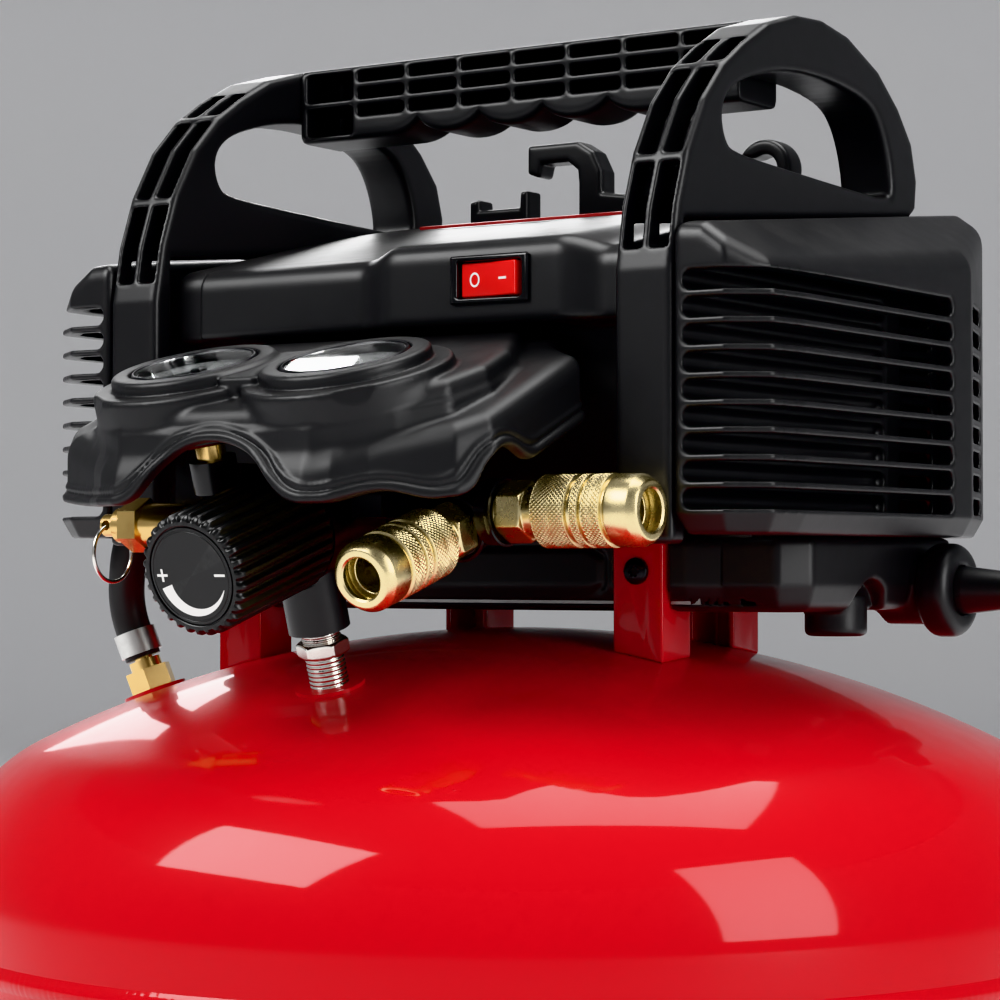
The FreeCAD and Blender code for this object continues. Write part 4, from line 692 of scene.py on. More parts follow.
def outlineField(u, v, points, rounding=0.0):
    # distance to a closed outline, negative inside, with its corners rounded
    if rounding:
        points = insetOutline(points, rounding)
    shape = np.broadcast(u, v).shape
    nearest = np.full(shape, farAway)
    sign = np.ones(shape)
    for (ax, ay), (bx, by) in zip(points, points[1:] + points[:1]):
        ex, ey = bx - ax, by - ay
        wx, wy = u - ax, v - ay
        share = np.clip((wx * ex + wy * ey) / (ex * ex + ey * ey), 0, 1)
        nearest = np.minimum(nearest, (wx - ex * share) ** 2 + (wy - ey * share) ** 2)
        above, below = v >= ay, v < by
        left = ex * wy > ey * wx
        flips = (above & below & left) | (~above & ~below & ~left)
        sign = np.where(flips, -sign, sign)
    return sign * np.sqrt(nearest) - rounding


def blockField(u, v, w, low, high, rounding=0.0):
    outside = []
    for value, a, b in zip((u, v, w), low, high):
        outside.append(np.abs(value - (a + b) / 2) - (b - a) / 2 + rounding)
    a, b, c = outside
    return hypot(over(a), over(b), over(c)) + np.minimum(np.maximum(np.maximum(a, b), c), 0) - rounding


def roundField(radial, along, radius, low, high, rounding=0.0):
    # a turned disc or rod between two heights
    a = radial - radius + rounding
    b = np.abs(along - (low + high) / 2) - (high - low) / 2 + rounding
    return hypot(over(a), over(b)) + np.minimum(np.maximum(a, b), 0) - rounding


def smoothLoop(points, rounds=3):
    # cuts the corners of a closed outline until it is a curve
    for _ in range(rounds):
        cut = []
        for a, b in zip(points, points[1:] + points[:1]):
            cut.append((a[0] * 0.75 + b[0] * 0.25, a[1] * 0.75 + b[1] * 0.25))
            cut.append((a[0] * 0.25 + b[0] * 0.75, a[1] * 0.25 + b[1] * 0.75))
        points = cut
    return points


def mirroredMesh(mesh, name):
    copy = mesh.copy()
    copy.name = name
    copy.transform(Matrix.Diagonal((-1, 1, 1, 1)))
    copy.flip_normals()
    return copy



# shroud sides with their vents
sideShroud = {
    "plan": [(119.1, -94), (138, -94), (151, -84), (153, -66), (153, 63), (138, 107), (119.1, 107)],
    "round": 3, "corner": 6, "wall": 2.5, "ventWall": 6.5, "bottom": 286, "edgeFront": 387, "edgeRear": 409,
    "wallFront": 374, "wallRear": 396, "deep": 34, "lipTop": 293, "lipIn": 0.55, "ventLow": 294, "pitch": 8.8,
    "slot": 6.5, "vents": 9, "ventFrontX": 122.5, "ventRearY": 48, "rearVent": (69, 98), "rearSlot": 5.7,
    "low": (118, -95, 285), "high": (154, 108, 410), "step": 0.8,
}


def sideField(block, d):
    x, y, z = block.x, block.y, block.z
    inner, front = d["plan"][0]
    outer = outlineField(x, y, d["plan"], d["round"])
    along = (y - front) / (d["plan"][-1][1] - front)
    across = (x - 119) / d["deep"]
    edge = d["edgeFront"] + (d["edgeRear"] - d["edgeFront"]) * along
    wallTop = d["wallFront"] + (d["wallRear"] - d["wallFront"]) * along
    roof = z - edge + over(across * 1.45 - 0.45) * (edge - wallTop) * 1.15 + across * 2.5
    lip = over(d["lipTop"] - z) * d["lipIn"]
    body = meet(outer + lip, roof * 0.92, d["corner"])
    body = meet(body, d["bottom"] - z, 1.0)
    # the walls are thicker where the slots run through them
    ventTop = d["ventLow"] + d["pitch"] * (d["vents"] - 1) + d["slot"] + 3
    ventZone = (z > d["ventLow"] - 2.2) & (z < ventTop) & (y < d["ventRearY"] + 4)
    thick = np.where(ventZone, d["ventWall"], d["wall"])
    shell = np.maximum(body, -(body + thick))
    shell = np.maximum(shell, inner - x)
    half = d["slot"] / 2
    low, high = d["rearVent"]
    slots = np.full(block.shape, farAway)
    for index in range(d["vents"]):
        up = z - (d["ventLow"] + half + index * d["pitch"])
        side = hypot(over(y - d["ventRearY"] + half), over(d["ventFrontX"] + half - x), up) - half
        rear = hypot(over(low + half - y), over(y - high + half), up) - d["rearSlot"] / 2
        slots = np.minimum(slots, np.minimum(side, rear))
    return trim(shell, slots, 1.0)


def makeSides():
    d = sideShroud
    block = Block(d["low"], d["high"], d["step"] * coarse)
    mesh = block.skin("side_right_shell", sideField(block, d))
    addPiece("side_right_shell", mesh, "blackShell", "compressor", ["shroud_right"])
    mesh = mirroredMesh(mesh, "side_left_shell")
    addPiece("side_left_shell", mesh, "blackShell", "compressor", ["shroud_left"])


makeSides()
print("shroud sides made")

# front panel, recess and top cover
panel = {
    "half": 96.9, "front": -94, "face": -88, "end": -82, "low": 357, "top": 381, "bulge": (-10, 9, 74, 91),
    "bulgeRise": 5.0, "stepX": -82, "recess": -72, "bottom": 286, "crest": (41, 411), "rear": (84, 416),
    "back": (107, 408), "backFace": 104.4, "nose": 6, "wall": 2.5, "sheetLow": 370, "recessTop": 384,
    "switchHole": ((35.2, -110, 365.7), (62.8, -70, 378.3)),
    "blockLow": (-97, -95, 285), "blockHigh": (97, 105, 417), "step": 1.0,
}


def ramp(value, low, high):
    share = np.clip((value - low) / (high - low), 0, 1)
    return share * share * (3 - 2 * share)


def roofPlane(y, z, start, stop):
    # height above the sloping line from one (y, z) point to another
    slope = (stop[1] - start[1]) / (stop[0] - start[0])
    return z - (start[1] + slope * (y - start[0]))


def panelField(block, d):
    x, y, z = block.x, block.y, block.z
    riseStart, riseEnd, fallStart, fallEnd = d["bulge"]
    bulge = ramp(x, riseStart, riseEnd) * (1 - ramp(x, fallStart, fallEnd))
    faceY = d["face"] + (d["front"] - d["face"]) * bulge
    faceY = faceY + (d["end"] - d["face"]) * (1 - ramp(x, d["stepX"] - 1, d["stepX"] + 1))
    ridge = (d["front"] + d["nose"], d["top"] + d["bulgeRise"] * bulge)
    roof = roofPlane(y, z, ridge, d["crest"])
    roof = meet(roof, roofPlane(y, z, d["crest"], d["rear"]), 6)
    roof = meet(roof, roofPlane(y, z, d["rear"], d["back"]), 5)
    outer = meet(roof, faceY - y, 7)
    outer = meet(outer, np.abs(x) - d["half"], 2)
    outer = meet(outer, y - d["backFace"], 1)
    # the nose is a hollow lip, the sheet behind it is the roof, and the recess is the wall below
    nose = meet(outer, d["low"] - z, 3)
    nose = meet(nose, y - d["recess"] - d["wall"])
    hollow = np.maximum(outer + d["wall"], d["low"] + d["wall"] - z)
    nose = trim(nose, np.maximum(hollow, y - d["recess"]))
    sheetPart = np.maximum(outer, -(outer + d["wall"]))
    sheetPart = np.maximum(sheetPart, d["recess"] - y)
    sheetPart = np.maximum(sheetPart, d["sheetLow"] - z)
    recessLow = (-d["half"], d["recess"], d["bottom"])
    recessHigh = (d["half"], d["recess"] + d["wall"], d["recessTop"])
    recess = blockField(x, y, z, recessLow, recessHigh, 0.5)
    body = join(join(nose, sheetPart), recess, 1.5)
    return trim(body, blockField(x, y, z, *d["switchHole"], 0.5))


def makePanel():
    d = panel
    block = Block(d["blockLow"], d["blockHigh"], d["step"] * coarse)
    mesh = block.skin("front_panel", panelField(block, d))
    addPiece("front_panel", mesh, "blackShell", "compressor", ["shroud_front"])


makePanel()

print("front panel made")

# carrying handle
arch = {
    "outline": [(-94, 283), (-84, 283), (-84, 388), (84, 405), (90, 409), (91.5, 420), (87, 434), (75.5, 446),
                (58.8, 457.5), (34.4, 466.5), (14.7, 469.2), (-4.4, 468), (-26.5, 461.8), (-44.3, 452.5),
                (-58.2, 443.5), (-72, 430), (-83, 412), (-90, 393), (-94, 372)],
    "window": [(-52, 415), (-20, 413.5), (41, 411.5), (66, 411), (69.4, 414), (66.9, 426), (61, 437), (52, 444),
               (33.5, 447.2), (7.7, 448.4), (-17.8, 446.5), (-42.3, 440.3), (-54, 434.5), (-59, 427), (-57, 419)],
    "inner": 97, "outer": 119, "round": 2.0, "soft": 3.2, "rib": 2.5, "cellRound": 1.2, "cellDeep": 10,
    "cellDraft": 0.04, "cellBack": -20, "rows": [(379, 408), (411, 442), (445, 455)],
    "low": (96, -95, 282), "high": (120, 93, 471), "step": 0.8,
}


def makeArches():
    d = arch
    block = Block(d["low"], d["high"], d["step"] * coarse)
    x, y, z = block.x, block.y, block.z
    plate = outlineField(y, z, d["outline"], d["round"])
    window = outlineField(y, z, smoothLoop(d["window"], 2))
    body = meet(trim(plate, window, 2.0), np.maximum(d["inner"] - x, x - d["outer"]), d["soft"])
    wide = (d["outer"] - d["inner"] - 3 * d["rib"]) / 2
    for column in range(2):
        start = d["inner"] + d["rib"] + column * (wide + d["rib"])
        for low, high in d["rows"]:
            across = np.abs(x - start - wide / 2) - wide / 2 + d["cellRound"]
            tall = np.abs(z - (low + high) / 2) - (high - low) / 2 + d["cellRound"]
            cell = hypot(over(across), over(tall)) + np.minimum(np.maximum(across, tall), 0) - d["cellRound"]
            floor = np.abs(plate) - d["cellDeep"] + (z - low) * d["cellDraft"]
            body = trim(body, np.maximum(np.maximum(cell, floor), y - d["cellBack"]), 0.8)
    mesh = block.skin("arch_right", body)
    addPiece("arch_right", mesh, "blackShell", "compressor", ["handle_right"])
    mesh = mirroredMesh(mesh, "arch_left")
    addPiece("arch_left", mesh, "blackShell", "compressor", ["handle_left"])


grip = {"half": 96.9, "front": -8, "back": 20, "top": 468, "bottom": 439.5, "wave": 3.2, "pitch": 28, "waves": 4,
        "blockEdge": -71, "blockStart": -94, "wall": 2.3, "columns": 7, "rows": 3, "blockRows": 2, "deep": 22,
        "round": 1.2, "low": (-97, -9, 437), "high": (97, 21, 469), "step": 0.8}


def makeGrip():
    d = grip
    block = Block(d["low"], d["high"], d["step"] * coarse)
    x, y, z = block.x, block.y, block.z
    span = d["pitch"] * d["waves"] / 2
    lobes = np.where(np.abs(x) < span, np.sqrt(np.abs(np.cos(x * math.pi / d["pitch"])) + 0.02), 1.0)
    low = d["bottom"] + 2 * d["wave"] * over(1 - lobes)
    body = meet(low - z, z - d["top"], 2.0)
    body = meet(body, np.maximum(d["front"] - y, y - d["back"]), 4)
    body = np.maximum(body, np.abs(x) - d["half"])
    # open cells in the front: a grid of small ones, and two tall ones at the left end
    pockets = []
    floor = d["bottom"] + 2 * d["wave"]
    rowTall = (d["top"] - floor - d["wall"] * (d["rows"] + 1)) / d["rows"]
    pitch = (d["half"] - d["blockEdge"]) / d["columns"]
    for row in range(d["rows"]):
        base = floor + d["wall"] + row * (rowTall + d["wall"])
        for column in range(d["columns"]):
            start = d["blockEdge"] + column * pitch + d["wall"] / 2
            pockets.append((start, base, start + pitch - d["wall"], base + rowTall))
    tall = (d["top"] - d["bottom"] - 3 * d["wall"]) / d["blockRows"]
    for row in range(d["blockRows"]):
        base = d["bottom"] + d["wall"] + row * (tall + d["wall"])
        pockets.append((d["blockStart"], base, d["blockEdge"] - d["wall"] / 2, base + tall))
    for x0, z0, x1, z1 in pockets:
        hole = blockField(x, y, z, (x0, d["front"] - 6, z0), (x1, d["front"] + d["deep"], z1), d["round"])
        body = trim(body, hole, 0.8)
    mesh = block.skin("grip_bar", body)
    addPiece("grip_bar", mesh, "blackShell", "compressor", ["handle_grip"])


makeArches()
makeGrip()
print("handle made")

# console
console = {
    "plan": [(68, -72.1), (71, -86), (79, -92), (87, -97), (87, -150), (80, -160), (56, -173.5), (47, -180.5),
             (38, -184), (-38, -184), (-47, -180.5), (-56, -173.5), (-80, -160), (-87, -150), (-87, -97),
             (-79, -92), (-71, -86), (-68, -72.1)],
    "plateau": [(56, -84), (70, -112), (75, -134), (72, -152), (60, -165), (48, -174.5), (38, -180), (-38, -180),
                (-48, -174.5), (-60, -165), (-72, -152), (-75, -134), (-70, -112), (-56, -84)],
    "planRound": 4, "plateauRound": 6, "gaugeX": 31.25, "gaugeY": -152, "gaugeZ": 343.5, "tilt": 17.3,
    "collar": 28.3, "shoulder": 35, "well": 21.8, "webHalf": (8, 19), "webDrop": 1.6, "collarDrop": 0.2,
    "raisedDeep": 24, "plateauDrop": 8.5, "shoulderDrop": 4.6, "creaseDrop": 5, "creaseIn": 0.6,
    "wingBack": (-103, 343.5), "wingSlope": 0.425, "band": 23, "bottom": 295.5, "knobArch": (0, 285, 30.5),
    "frontArch": (60, 287, 11.5), "sideArch": (-142, 302, 11.5), "wall": 2.6, "lip": 1.5, "lipTall": 1.5,
    "lineAt": 5.0, "lineTall": 0.8, "top": 356.7, "back": -72.1,
    "low": (-89, -186.5, 290), "high": (89, -72, 359), "step": 0.65,
}


def openBelow(x, y, z, d):
    # the space under the lower edge: a sloping cut with an arch over the knob and over each coupler
    backY, backZ = d["wingBack"]
    slope = d["wingSlope"]
    base = (z - (backZ + slope * (y - backY) - d["band"])) / math.sqrt(1 + slope * slope)
    space = join(base, z - d["bottom"], 6)
    middle, height, radius = d["knobArch"]
    knobSpace = meet(hypot(x - middle, z - height) - radius, y + 146, 3)
    space = join(space, knobSpace, 9)
    middle, height, radius = d["frontArch"]
    space = join(space, meet(hypot(x - middle, z - height) - radius, y + 150, 3), 7)
    middle, height, radius = d["sideArch"]
    return join(space, meet(hypot(y - middle, z - height) - radius, 62 - x, 3), 7)


def makeConsole():
    d = console
    block = Block(d["low"], d["high"], d["step"] * coarse)
    x, y, z = block.x, block.y, block.z
    # depth below the gauges' tilted plane, and distance from the nearer gauge's axis
    lean = math.radians(d["tilt"])
    drop = -((y - d["gaugeY"]) * -math.sin(lean) + (z - d["gaugeZ"]) * math.cos(lean))
    slopeY = (y - d["gaugeY"]) * math.cos(lean) + (z - d["gaugeZ"]) * math.sin(lean)
    radial = hypot(np.abs(x) - d["gaugeX"], slopeY)
    plan = outlineField(x, y, d["plan"], d["planRound"])
    upper = outlineField(x, y, d["plateau"], d["plateauRound"])
    wingTop = (z - d["wingBack"][1] - d["wingSlope"] * (y - d["wingBack"][0])) * 0.92
    wing = meet(plan, wingTop, 7)
    crease = np.clip(drop - d["plateauDrop"] - d["creaseDrop"], 0, 2.0) * d["creaseIn"]
    tier = meet(upper - crease, d["plateauDrop"] - drop, 5)
    body = join(wing, tier, 2.5)
    # a collar and a shoulder round each gauge, and the web between the two
    shoulder = meet(radial - d["shoulder"], d["shoulderDrop"] - drop, 2)
    collar = meet(radial - d["collar"], d["collarDrop"] - drop, 2.2)
    webX, webY = d["webHalf"]
    web = meet(meet(np.abs(x) - webX, np.abs(slopeY) - webY, 3), d["webDrop"] - drop, 1.5)
    raised = join(join(shoulder, collar, 0.8), web, 1.5)
    raised = np.maximum(np.maximum(raised, drop - d["raisedDeep"]), plan + 0.5)
    body = join(body, raised, 2.0)
    # hollow it, open it below, and run a lip and a fine line along the lower edge
    space = openBelow(x, y, z, d)
    shell = np.maximum(body, -(body + d["wall"]))
    shell = meet(shell, -space, 1.2)
    skirt = -(body + d["wall"])
    lip = np.abs(space - d["lipTall"]) - d["lipTall"]
    lip = np.maximum(meet(body - d["lip"], lip, 1.4), skirt)
    line = np.abs(space - d["lineAt"]) - d["lineTall"]
    line = np.maximum(meet(body - d["lip"] * 0.45, line, 0.8), skirt)
    shell = join(join(shell, lip, 0.8), line, 0.8)
    shell = np.maximum(shell, -(radial - d["well"]))
    shell = np.maximum(np.maximum(shell, z - d["top"]), y - d["back"])
    mesh = block.skin("console_hood", shell)
    addPiece("console_hood", mesh, "blackConsole", "compressor", ["console_cover"])


makeConsole()
print("console made")

# tank
tank = {"radius": 210, "height": 226, "lift": 27, "crown": 400, "knuckle": 60, "seam": 140, "beadHalf": 4,
        "beadProud": 1.45, "beadSteps": 10, "ripple": (0.14, 420, 37), "around": 288, "crownSteps": 30,
        "knuckleSteps": 16}


def headProfile(d, side):
    # outer line of one dished head, from the seam to its crown
    top = d["lift"] + d["height"]
    centre = top - d["crown"]
    kneeX = d["radius"] - d["knuckle"]
    lean = math.asin(kneeX / (d["crown"] - d["knuckle"]))
    kneeZ = centre + (d["crown"] - d["knuckle"]) * math.cos(lean)
    line = [(d["radius"], d["seam"] + 0.4), (d["radius"], kneeZ - 6)]
    for step in range(d["knuckleSteps"] + 1):
        angle = math.radians(90) + (lean - math.radians(90)) * step / d["knuckleSteps"]
        line.append((kneeX + d["knuckle"] * math.sin(angle), kneeZ + d["knuckle"] * math.cos(angle)))
    for step in range(1, d["crownSteps"] + 1):
        angle = lean * (1 - step / d["crownSteps"])
        line.append((max(d["crown"] * math.sin(angle), 0.3), centre + d["crown"] * math.cos(angle)))
    if side < 0:
        line = [(r, 2 * d["seam"] - z) for r, z in line]
    return line


def makeTank():
    d = tank
    upper = headProfile(d, 1)
    mesh = latheMesh("tank_upper_head", upper, d["around"])
    addPiece("tank_upper_head", mesh, "redPaint", "compressor", ["tank_top_head"])
    lower = headProfile(d, -1)
    half = d["beadHalf"]
    steps = d["beadSteps"]
    bead = [(d["radius"] + d["beadProud"] * math.sin(math.pi * k / steps), d["seam"] + half - half * 2 * k / steps)
            for k in range(steps + 1)]
    lower = [(d["radius"] - 2, d["seam"] + half)] + bead + lower[1:]
    deep, fine, slow = d["ripple"]

    def weldRipple(angle, radius, height):
        if abs(height - d["seam"]) < half - 0.5 and radius > d["radius"]:
            return radius + deep * math.sin(angle * fine) * math.cos(angle * slow)
        return radius

    mesh = latheMesh("tank_lower_head", lower, d["around"] * 4, ripple=weldRipple)
    addPiece("tank_lower_head", mesh, "redPaint", "compressor", ["tank_bottom_head"])


makeTank()
softened("foot_channels", "foot_brackets", "redPaint", "compressor", 0.9)
softened("front_brackets", "front_tank_brackets", "redPaint", "compressor", 1.1)
softened("rear_brackets", "rear_tank_brackets", "redPaint", "compressor", 1.1)
softened("feet", "rubber_feet", "footRubber", "compressor", 1.4)
print("tank made")

# turned and knurled parts
leanTurn = math.radians(console["tilt"])
forwardAxis = Vector((0, -math.cos(leanTurn), -math.sin(leanTurn)))
gaugeAxis = Vector((0, -math.sin(leanTurn), math.cos(leanTurn)))


def placeOn(place, axis, side=(1, 0, 0)):
    # a frame whose Z is the part's axis and whose X lies as near as it can to side
    z = Vector(axis).normalized()
    x = Vector(side)
    x = (x - z * x.dot(z)).normalized()
    y = z.cross(x)
    turn = Matrix((x, y, z)).transposed().to_4x4()
    return Matrix.Translation(Vector(place) * metre) @ turn


knob = {"place": (0, -142.4, 287.6), "radius": 20.35, "long": 51, "ribs": 30, "depth": 1.5, "cavity": 16.6,
        "recess": 16.5, "chamfer": 1.7, "floor": 4.2, "sink": 0.8, "ribFade": 2.5, "valley": (0.25, 0.8),
        "bodySteps": 6, "around": 480, "disc": 50.85, "discLow": 50.2, "discRadius": 16.2, "discAround": 128}


def makeKnob():
    d = knob
    matrix = placeOn(d["place"], forwardAxis)
    radius, end = d["radius"], d["long"]
    outer = [(radius - 1.0, 0.3), (radius - 0.3, 0.9), (radius, 2.0)]
    outer += [(radius, 2 + (end - 5) * k / d["bodySteps"]) for k in range(1, d["bodySteps"] + 1)]
    outer += [(radius - 0.15, end - 1.9), (radius - 0.6, end - 0.9), (radius - d["chamfer"], end - 0.15),
              (radius - 2.4, end)]
    inner = [(0.05, end - d["floor"]), (d["cavity"], end - d["floor"]), (d["cavity"], 0.3)]
    face = [(d["recess"] + 0.25, end), (d["recess"], end - 0.2), (d["recess"], end - d["sink"]),
            (0.05, end - d["sink"])]
    edge, power = d["valley"]

    def fluted(angle, r, height):
        if r < radius - d["chamfer"] - 0.1:
            return r
        wave = 0.5 - 0.5 * math.cos(d["ribs"] * angle)
        valley = max(0.0, (wave - edge) / (1 - edge)) ** power
        return r - d["depth"] * valley * min(1.0, height / d["ribFade"])

    mesh = latheMesh("pressure_knob", inner + outer + face, d["around"], matrix, fluted)
    addPiece("pressure_knob", mesh, "knobBlack", "knob", ["regulator_knob"])
    # the label disc has a fine groove near its rim
    low, top, rim = d["discLow"], d["disc"], d["discRadius"]
    disc = [(0.05, low), (rim - 0.1, low), (rim, low + 0.2), (rim - 0.2, top - 0.07), (rim - 1.0, top),
            (rim - 1.1, top - 0.13), (rim - 1.5, top - 0.13), (rim - 1.6, top), (0.05, top)]
    mesh = latheMesh("knob_face", disc, d["discAround"], matrix)
    addPiece("knob_face", mesh, "knobBlack", "knob", ["knob_disc"])
    makeKnobMarks(matrix)


def flatMarks(name, outlines, matrix, low, high, material, body, slotName):
    # thin raised marks: each outline is a closed ring of points on the face
    work = bmesh.new()
    for outline in outlines:
        bottom = [work.verts.new(Vector((u, v, low)) * metre) for u, v in outline]
        top = [work.verts.new(Vector((u, v, high)) * metre) for u, v in outline]
        count = len(outline)
        for index in range(count):
            after = (index + 1) % count
            work.faces.new((bottom[index], bottom[after], top[after], top[index]))
        work.faces.new(top)
        work.faces.new(bottom[::-1])
    bmesh.ops.triangulate(work, faces=[face for face in work.faces if len(face.verts) > 4])
    bmesh.ops.recalc_face_normals(work, faces=work.faces)
    mesh = bpy.data.meshes.new(name)
    work.to_mesh(mesh)
    work.free()
    mesh.transform(matrix)
    return addPiece(name, mesh, material, body)


def bar(u, v, wide, tall):
    return [(u - wide / 2, v - tall / 2), (u + wide / 2, v - tall / 2), (u + wide / 2, v + tall / 2),
            (u - wide / 2, v + tall / 2)]


knobMarks = {"arm": 2.1, "wide": 0.8, "across": 11.6, "rise": 0.3, "crescent": (13.2, 4.3), "gap": 0.1,
             "start": 198, "sweep": 142, "steps": 36, "low": 50.8, "high": 50.93}


def makeKnobMarks(matrix):
    d = knobMarks
    arm, wide, across, rise = d["arm"], d["wide"], d["across"], d["rise"]
    short = arm - wide / 2
    plus = [bar(-across, rise, 2 * arm, wide), bar(-across, rise + (arm + wide / 2) / 2, wide, short),
            bar(-across, rise - (arm + wide / 2) / 2, wide, short)]
    minus = bar(across, rise, 2 * arm, wide)
    radius, thick = d["crescent"]
    outside, inside = [], []
    for step in range(d["steps"] + 1):
        share = step / d["steps"]
        angle = math.radians(d["start"] + d["sweep"] * share)
        near = radius - d["gap"] - thick * (1 - share) ** 0.8
        outside.append((radius * math.cos(angle), radius * math.sin(angle)))
        inside.append((near * math.cos(angle), near * math.sin(angle)))
    flatMarks("knob_marks", plus + [minus, outside + inside[::-1]], matrix, d["low"], d["high"], "whiteInk",
              "knob", "label")


makeKnob()
print("knob made")

# a thin printed line that crosses the cover just before its crest
stripe = {"half": 66, "wide": 2.2, "place": (0, 30, 408.7), "rise": 0.22, "low": -0.8, "high": 0.25}
stripeMatrix = placeOn(stripe["place"], (0, -math.sin(stripe["rise"]), math.cos(stripe["rise"])))
stripeBar = bar(0, 0, 2 * stripe["half"], stripe["wide"])
flatMarks("cover_stripe", [stripeBar], stripeMatrix, stripe["low"], stripe["high"], "redInk", "compressor", "label")

coupler = {"radius": 12, "long": 55.5, "start": 16, "tube": 9.6, "opening": 7.0, "lip": 2, "diamonds": 48,
           "knurlDeep": 0.34, "knurlEdge": 1.7, "knurls": [(16.8, 29.2), (31.6, 34.2), (36.0, 42.2)],
           "groove": 1.1, "around": 480, "row": 0.16, "bore": 6.45, "hex": 9.0064, "hexSpan": (1, 11),
           "thread": (6.7, -5, 1.5), "through": 3.0, "step": 0.35, "cupAround": 96}
# stepped parts of the body: radius, start, end and rounding
coupler["steps"] = [(8.0, -1.0, 0.6, 0.3), (8.5, 10, 18.5, 0.3), (7.7, 10, 15.5, 0.3), (9.48, 16, 49, 0.4)]
coupler["nose"] = [(1.1, -12.3), (0.35, -11.6), (0.2, -10.9), (0.2, -3.4), (0.45, -2.6), (1.9, -0.5), (2.4, -0.1),
                   (2.9, 0)]
coupler["cup"] = [(6.9, -3.4), (9.6, -3.4), (10.6, -2.6), (11.4, -0.6), (11.5, 0.4), (10.7, 0.7), (9.9, 0.2),
                  (8.4, -0.6), (6.9, -0.6)]
couplers = [
    {"side": "front", "place": (48, -113, 288), "axis": forwardAxis, "across": (1, 0, 0)},
    {"side": "side", "place": (64.5, -108, 293.5), "axis": (1, 0, 0), "across": (0, 1, 0)},
]


def knurled(d):
    pitch = fullTurn * d["radius"] / d["diamonds"]

    def ripple(angle, radius, height):
        for low, high in d["knurls"]:
            if radius > d["radius"] - 0.3 and low < height < high:
                u = angle * d["diamonds"] / 2
                v = height / pitch * math.pi
                grooves = min(abs(math.sin(u + v)), abs(math.sin(u - v)))
                return radius - d["knurlDeep"] * (1 - min(1, grooves * d["knurlEdge"]))
        return radius
    return ripple


def makeSleeve(d, spec):
    radius, end, start = d["radius"], d["long"], d["start"]
    outer = [(radius - 0.9, start), (radius - 0.1, start + 0.7)]
    for low, high in d["knurls"]:
        outer += [(radius - d["groove"], low - 0.6), (radius - 0.05, low - 0.1)]
        count = int((high - low) / d["row"] / coarse)
        outer += [(radius, low + (high - low) * k / count) for k in range(count + 1)]
        outer += [(radius - 0.05, high + 0.1), (radius - d["groove"], high + 0.6)]
    outer += [(radius - inwards, end + back) for inwards, back in d["nose"]]
    outer += [(d["opening"] + 0.6, end), (d["opening"], end - 0.5), (d["opening"], end - d["lip"]),
              (d["tube"], end - d["lip"]), (d["tube"], start)]
    name = "sleeve_" + spec["side"]
    matrix = placeOn(spec["place"], spec["axis"], spec["across"])
    mesh = latheMesh(name, outer + outer[:1], d["around"], matrix, knurled(d))
    node = "coupler_sleeve_" + spec["side"]
    addPiece(name, mesh, "paleBrass", spec["side"] + "_sleeve", [node])


def hexField(x, y, flat):
    field = np.abs(x) - flat
    for degrees in (60, 120):
        turn = math.radians(degrees)
        field = np.maximum(field, np.abs(x * math.cos(turn) + y * math.sin(turn)) - flat)
    return field


def threadField(radial, z, radius, low, high, pitch=1.4, deep=0.45):
    # a threaded length with pointed crests
    tooth = np.abs((z / pitch) % 1.0 - 0.5) * 2
    return np.maximum(radial - radius + deep * (1 - tooth), np.maximum(low - z, z - high))


def chamferedHex(x, y, z, radial, flat, low, high):
    nut = meet(hexField(x, y, flat), np.maximum(low - z, z - high), 0.6)
    corner = flat * 1.1547
    top = radial + (z - high) * 1.6 - corner + 1.3
    bottom = radial + (low - z) * 1.6 - corner + 1.3
    return meet(nut, np.maximum(top, bottom), 0.3)


def makeCouplerBody(d, spec):
    block = Block((-12.4, -12.4, -5.5), (12.4, 12.4, 49.2), d["step"] * coarse)
    x, y, z = block.x, block.y, block.z
    radial = hypot(x, y)
    matrix = placeOn(spec["place"], spec["axis"], spec["across"])
    body = threadField(radial, z, *d["thread"])
    body = join(body, chamferedHex(x, y, z, radial, d["hex"], *d["hexSpan"]))
    for radius, low, high, rounding in d["steps"]:
        body = join(body, roundField(radial, z, radius, low, high, rounding))
    body = trim(body, roundField(radial, z, d["bore"], 12, 60, 0.0))
    body = trim(body, radial - d["through"])
    name = "coupler_core_" + spec["side"]
    mesh = block.skin(name, body)
    mesh.transform(matrix)
    addPiece(name, mesh, "paleBrass", "compressor", ["coupler_body_" + spec["side"]])
    name = "coupler_cup_" + spec["side"]
    mesh = latheMesh(name, d["cup"] + d["cup"][:1], d["cupAround"], matrix)
    addPiece(name, mesh, "blackGloss", "compressor")


for couplerSpec in couplers:
    makeSleeve(coupler, couplerSpec)
    makeCouplerBody(coupler, couplerSpec)
print("couplers made")

# nipple, gauges and switch
nipple = {"place": (0, -123.7, 254.9), "lean": 17.2, "low": -24, "half": 9.6, "hexLow": -9.2, "hexHigh": -4.0,
          "hex": 7.905, "thread": 6.8, "pitch": 1.5, "deep": 0.55, "bore": 4, "step": 0.35}


def makeNipple():
    d = nipple
    lean = math.radians(d["lean"])
    axis = Vector((0, -math.sin(lean), math.cos(lean)))
    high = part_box("hex_nipple")[1]
    reach = (high.z / metre - d["place"][2]) / math.cos(lean)
    block = Block((-d["half"], -d["half"], d["low"]), (d["half"], d["half"], reach), d["step"] * coarse)
    x, y, z = block.x, block.y, block.z
    radial = hypot(x, y)
    body = threadField(radial, z, d["thread"], d["low"] + 1, reach - 1.5, d["pitch"], d["deep"])
    body = join(body, chamferedHex(x, y, z, radial, d["hex"], d["hexLow"], d["hexHigh"]))
    body = trim(body, radial - d["bore"])
    mesh = block.skin("nipple_fitting", body)
    mesh.transform(placeOn(d["place"], axis))
    addPiece("nipple_fitting", mesh, "nickel", "compressor", ["hex_nipple"])


makeNipple()

